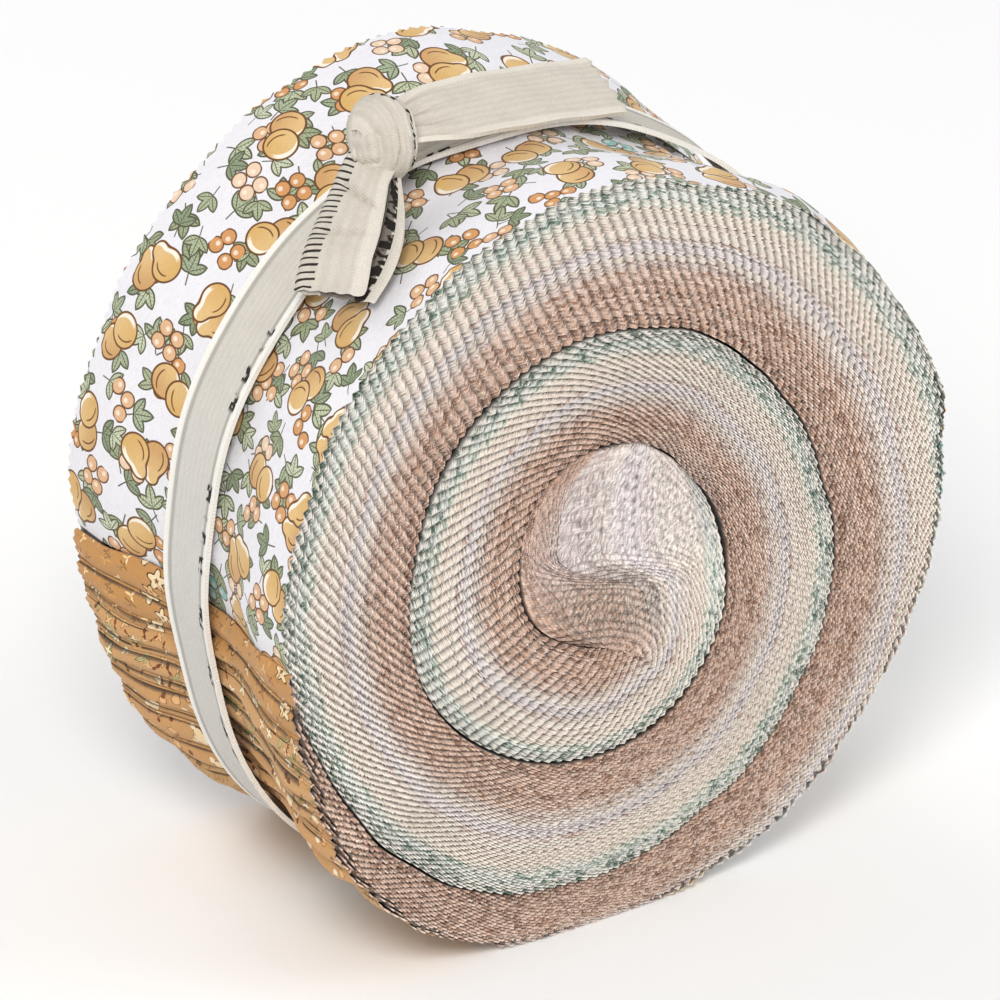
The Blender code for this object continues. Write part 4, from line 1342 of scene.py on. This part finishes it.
# dark overcast stitches on the tape, in metres across it
stitches = {
    "pitch": 0.00052, "wide": 0.00021, "colour": "2b2724", "wander": 0.0007,
    "foldRow": (-0.0002, 0.0014, 0.0009),  # where they run along the fold, and how ragged they end
    # inside: where painted shade darkens the inside of the hanging end
    "inside": (-0.0054, -0.0020), "insideShade": "5a5048",
    "openRow": (-0.0056, -0.0047), "beltRow": (-0.0054, -0.0038),
    "wrapFrom": 0.0065,         # how far up the turn over the knot they begin
    "wrapRow": (0.007, 0.016, -0.0012, 0.0024),  # from there to there they shift over to the edge
    "wrapWide": 0.0017, "wrapWander": 0.0020,
    "insideShadeShare": 0.75, "slant": 0.18, "wanderRate": 900.0, "spotRates": (700.0, 900.0, 5.0),
    "openSpots": (0.42, 0.50), "dotSpots": (0.43, 0.50),
    "wrapPatches": (420.0, 0.42, 0.48), "beltPatches": (190.0, 0.50, 0.56),  # rate, from, to
}
tapeLooks = {
    "tones": ("c6beb2", "d9d2c6"), "grooveShade": "a79e90", "woven": "e4ddd1", "rib": 5200.0,
    "half": 0.00625, "edge": (0.0009, 0.0014),
    # low down, between these heights, painted shade makes the belt greyer and cooler; it has paler edges,
    # beside a groove that painted shade darkens
    "lowShadeTint": "d2d2d1", "lowShadeBetween": (0.065, 0.115, 0.55, 0.15), "beltGrooveShade": "85837c",
    "grooveAt": 0.0016, "grooveReach": (0.0002, 0.0006, 0.5, 0.0), "beltEdge": "efece5",
    "cloudRate": 260.0, "ribShade": 0.08, "wovenShare": 0.6, "shadeRelief": 3.7, "ribRelief": 0.3,
}


def makeTapeFinish(groups):
    paint, tree, shader = newMaterial("cotton_tape")
    place = clothPlace(tree)
    along, across, number = splitVector(tree, place)

    def piece(value):
        return maths(tree, "COMPARE", number, value, 0.4)

    belting, hanging, wrapping = piece(0.0), piece(2.0), piece(3.0)
    weave = useGroup(tree, groups["weave"], Place=place, Threads=finish["tapeThreads"])
    cloud = noise(tree, vectorMaths(tree, "SCALE", place, tapeLooks["cloudRate"]), 1.0, 3.0)
    colour = mixColour(tree, cloud, *tapeLooks["tones"])
    # painted shade darkens the grooves between the lengthways ribs
    lengthways = maths(tree, "SINE", times(tree, across, tapeLooks["rib"]))
    ribs = maths(tree, "MULTIPLY_ADD", lengthways, tapeLooks["ribShade"], tapeLooks["ribShade"])
    colour = mixColour(tree, ribs, colour, tapeLooks["grooveShade"])
    fromEdge = maths(tree, "SUBTRACT", tapeLooks["half"], maths(tree, "ABSOLUTE", across))
    selvage = ramp(tree, fromEdge, *tapeLooks["edge"], 1.0, 0.0)
    colour = mixColour(tree, times(tree, selvage, tapeLooks["wovenShare"]), colour, tapeLooks["woven"])
    colour = shaded(tree, colour, weave["Shade"])
    height = splitVector(tree, tree.nodes.new("ShaderNodeTexCoord").outputs["Object"])[2]
    # painted shade: the belt is greyer low down
    lowShade = times(tree, belting, ramp(tree, height, *tapeLooks["lowShadeBetween"]))
    colour = mixColour(tree, lowShade, colour, tapeLooks["lowShadeTint"])
    # painted shade in the groove beside each raised pale edge of the belt
    offGroove = maths(tree, "ABSOLUTE", maths(tree, "SUBTRACT", fromEdge, tapeLooks["grooveAt"]))
    grooveShade = ramp(tree, offGroove, *tapeLooks["grooveReach"])
    colour = mixColour(tree, times(tree, belting, grooveShade), colour, tapeLooks["beltGrooveShade"])
    colour = mixColour(tree, times(tree, belting, selvage), colour, tapeLooks["beltEdge"])
    # painted shade darkens the inside of the hanging end
    inside = times(tree, hanging, between(tree, across, *stitches["inside"]), stitches["insideShadeShare"])
    colour = mixColour(tree, inside, colour, stitches["insideShade"])
    # stitches along the hanging end's fold, short ends of thread at its opening, dots on the rest
    wander = joinVector(tree, times(tree, along, stitches["wanderRate"]), number, 0.0)
    wander = noise(tree, wander, 1.0, 1.0)
    slant = maths(tree, "ADD", maths(tree, "MULTIPLY_ADD", across, stitches["slant"], along),
                  times(tree, wander, stitches["wander"]))
    thread = ramp(tree, maths(tree, "PINGPONG", slant, stitches["pitch"]), stitches["wide"] * 0.6,
                  stitches["wide"], 1.0, 0.0)
    alongRate, acrossRate, start = stitches["spotRates"]
    spots = joinVector(tree, times(tree, along, alongRate), times(tree, across, acrossRate), start)
    clots = noise(tree, spots, 1.0, 1.0)
    openRow = times(tree, between(tree, across, *stitches["openRow"]),
                    ramp(tree, clots, *stitches["openSpots"]), hanging)
    low, high, ragged = stitches["foldRow"]
    high = maths(tree, "MULTIPLY_ADD", wander, ragged, high)
    foldRow = times(tree, between(tree, across, low, high), hanging, thread)
    rate, least, most = stitches["wrapPatches"]
    patches = ramp(tree, noise(tree, joinVector(tree, along, number, 0.0), rate, 1.0), least, most)
    started = maths(tree, "GREATER_THAN", along, stitches["wrapFrom"])
    shift = ramp(tree, along, *stitches["wrapRow"])
    loose = maths(tree, "MULTIPLY_ADD", wander, stitches["wrapWander"], shift)
    wrapRow = between(tree, across, loose, maths(tree, "ADD", loose, stitches["wrapWide"]))
    wrapRow = times(tree, wrapRow, wrapping, patches, started)
    rate, least, most = stitches["beltPatches"]
    patches = ramp(tree, noise(tree, joinVector(tree, along, 0.0, 0.0), rate, 1.0), least, most)
    beltRow = times(tree, between(tree, across, *stitches["beltRow"]), belting, patches)
    dots = times(tree, maths(tree, "MAXIMUM", wrapRow, beltRow), ramp(tree, clots, *stitches["dotSpots"]))
    rows = maths(tree, "MAXIMUM", foldRow, maths(tree, "MAXIMUM", openRow, dots))
    colour = mixColour(tree, rows, colour, stitches["colour"])
    relief = maths(tree, "MULTIPLY_ADD", weave["Shade"], tapeLooks["shadeRelief"], weave["Height"])
    relief = maths(tree, "MULTIPLY_ADD", lengthways, tapeLooks["ribRelief"], relief)
    finishShader(tree, shader, colour, finish["tape"], relief, *finish["tapeBump"])
    return paint


makeCamera()
makeStudio()
groups = {"place": makePlaceGroup(), "motif": makeMotifGroup(), "spray": makeSprayGroup(),
          "fruit": makeFruitGroup(), "weave": makeWeaveGroup(), "fray": makeFrayGroup()}
stripPieces = makeStrips()
for name, piece in stripPieces.items():
    for printed in (True, False):
        piece.data.materials.append(makeCotton(name, printLooks[name], groups, printed))
    markCuts(piece.data)
    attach(piece, "root")
    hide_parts("strip_roll")

print("printed finishes", len(printLooks))

taut, beltLength = makeBelt()
knotBody, knotWrap, wrapLength = makeKnot()
rightTail, hangingTail = makeRightTail(), makeHangingTail()
print("tie", round(beltLength), "mm round the roll")
tapeFinish = makeTapeFinish(groups)
for piece, node in ((taut, "tie_band"), (knotBody, "tie_knot"), (knotWrap, "tie_knot"),
                    (rightTail, "tie_tail_right"), (hangingTail, "tie_tail_hanging")):
    piece.data.materials.append(tapeFinish)
    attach(piece, "root")
    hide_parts(node)
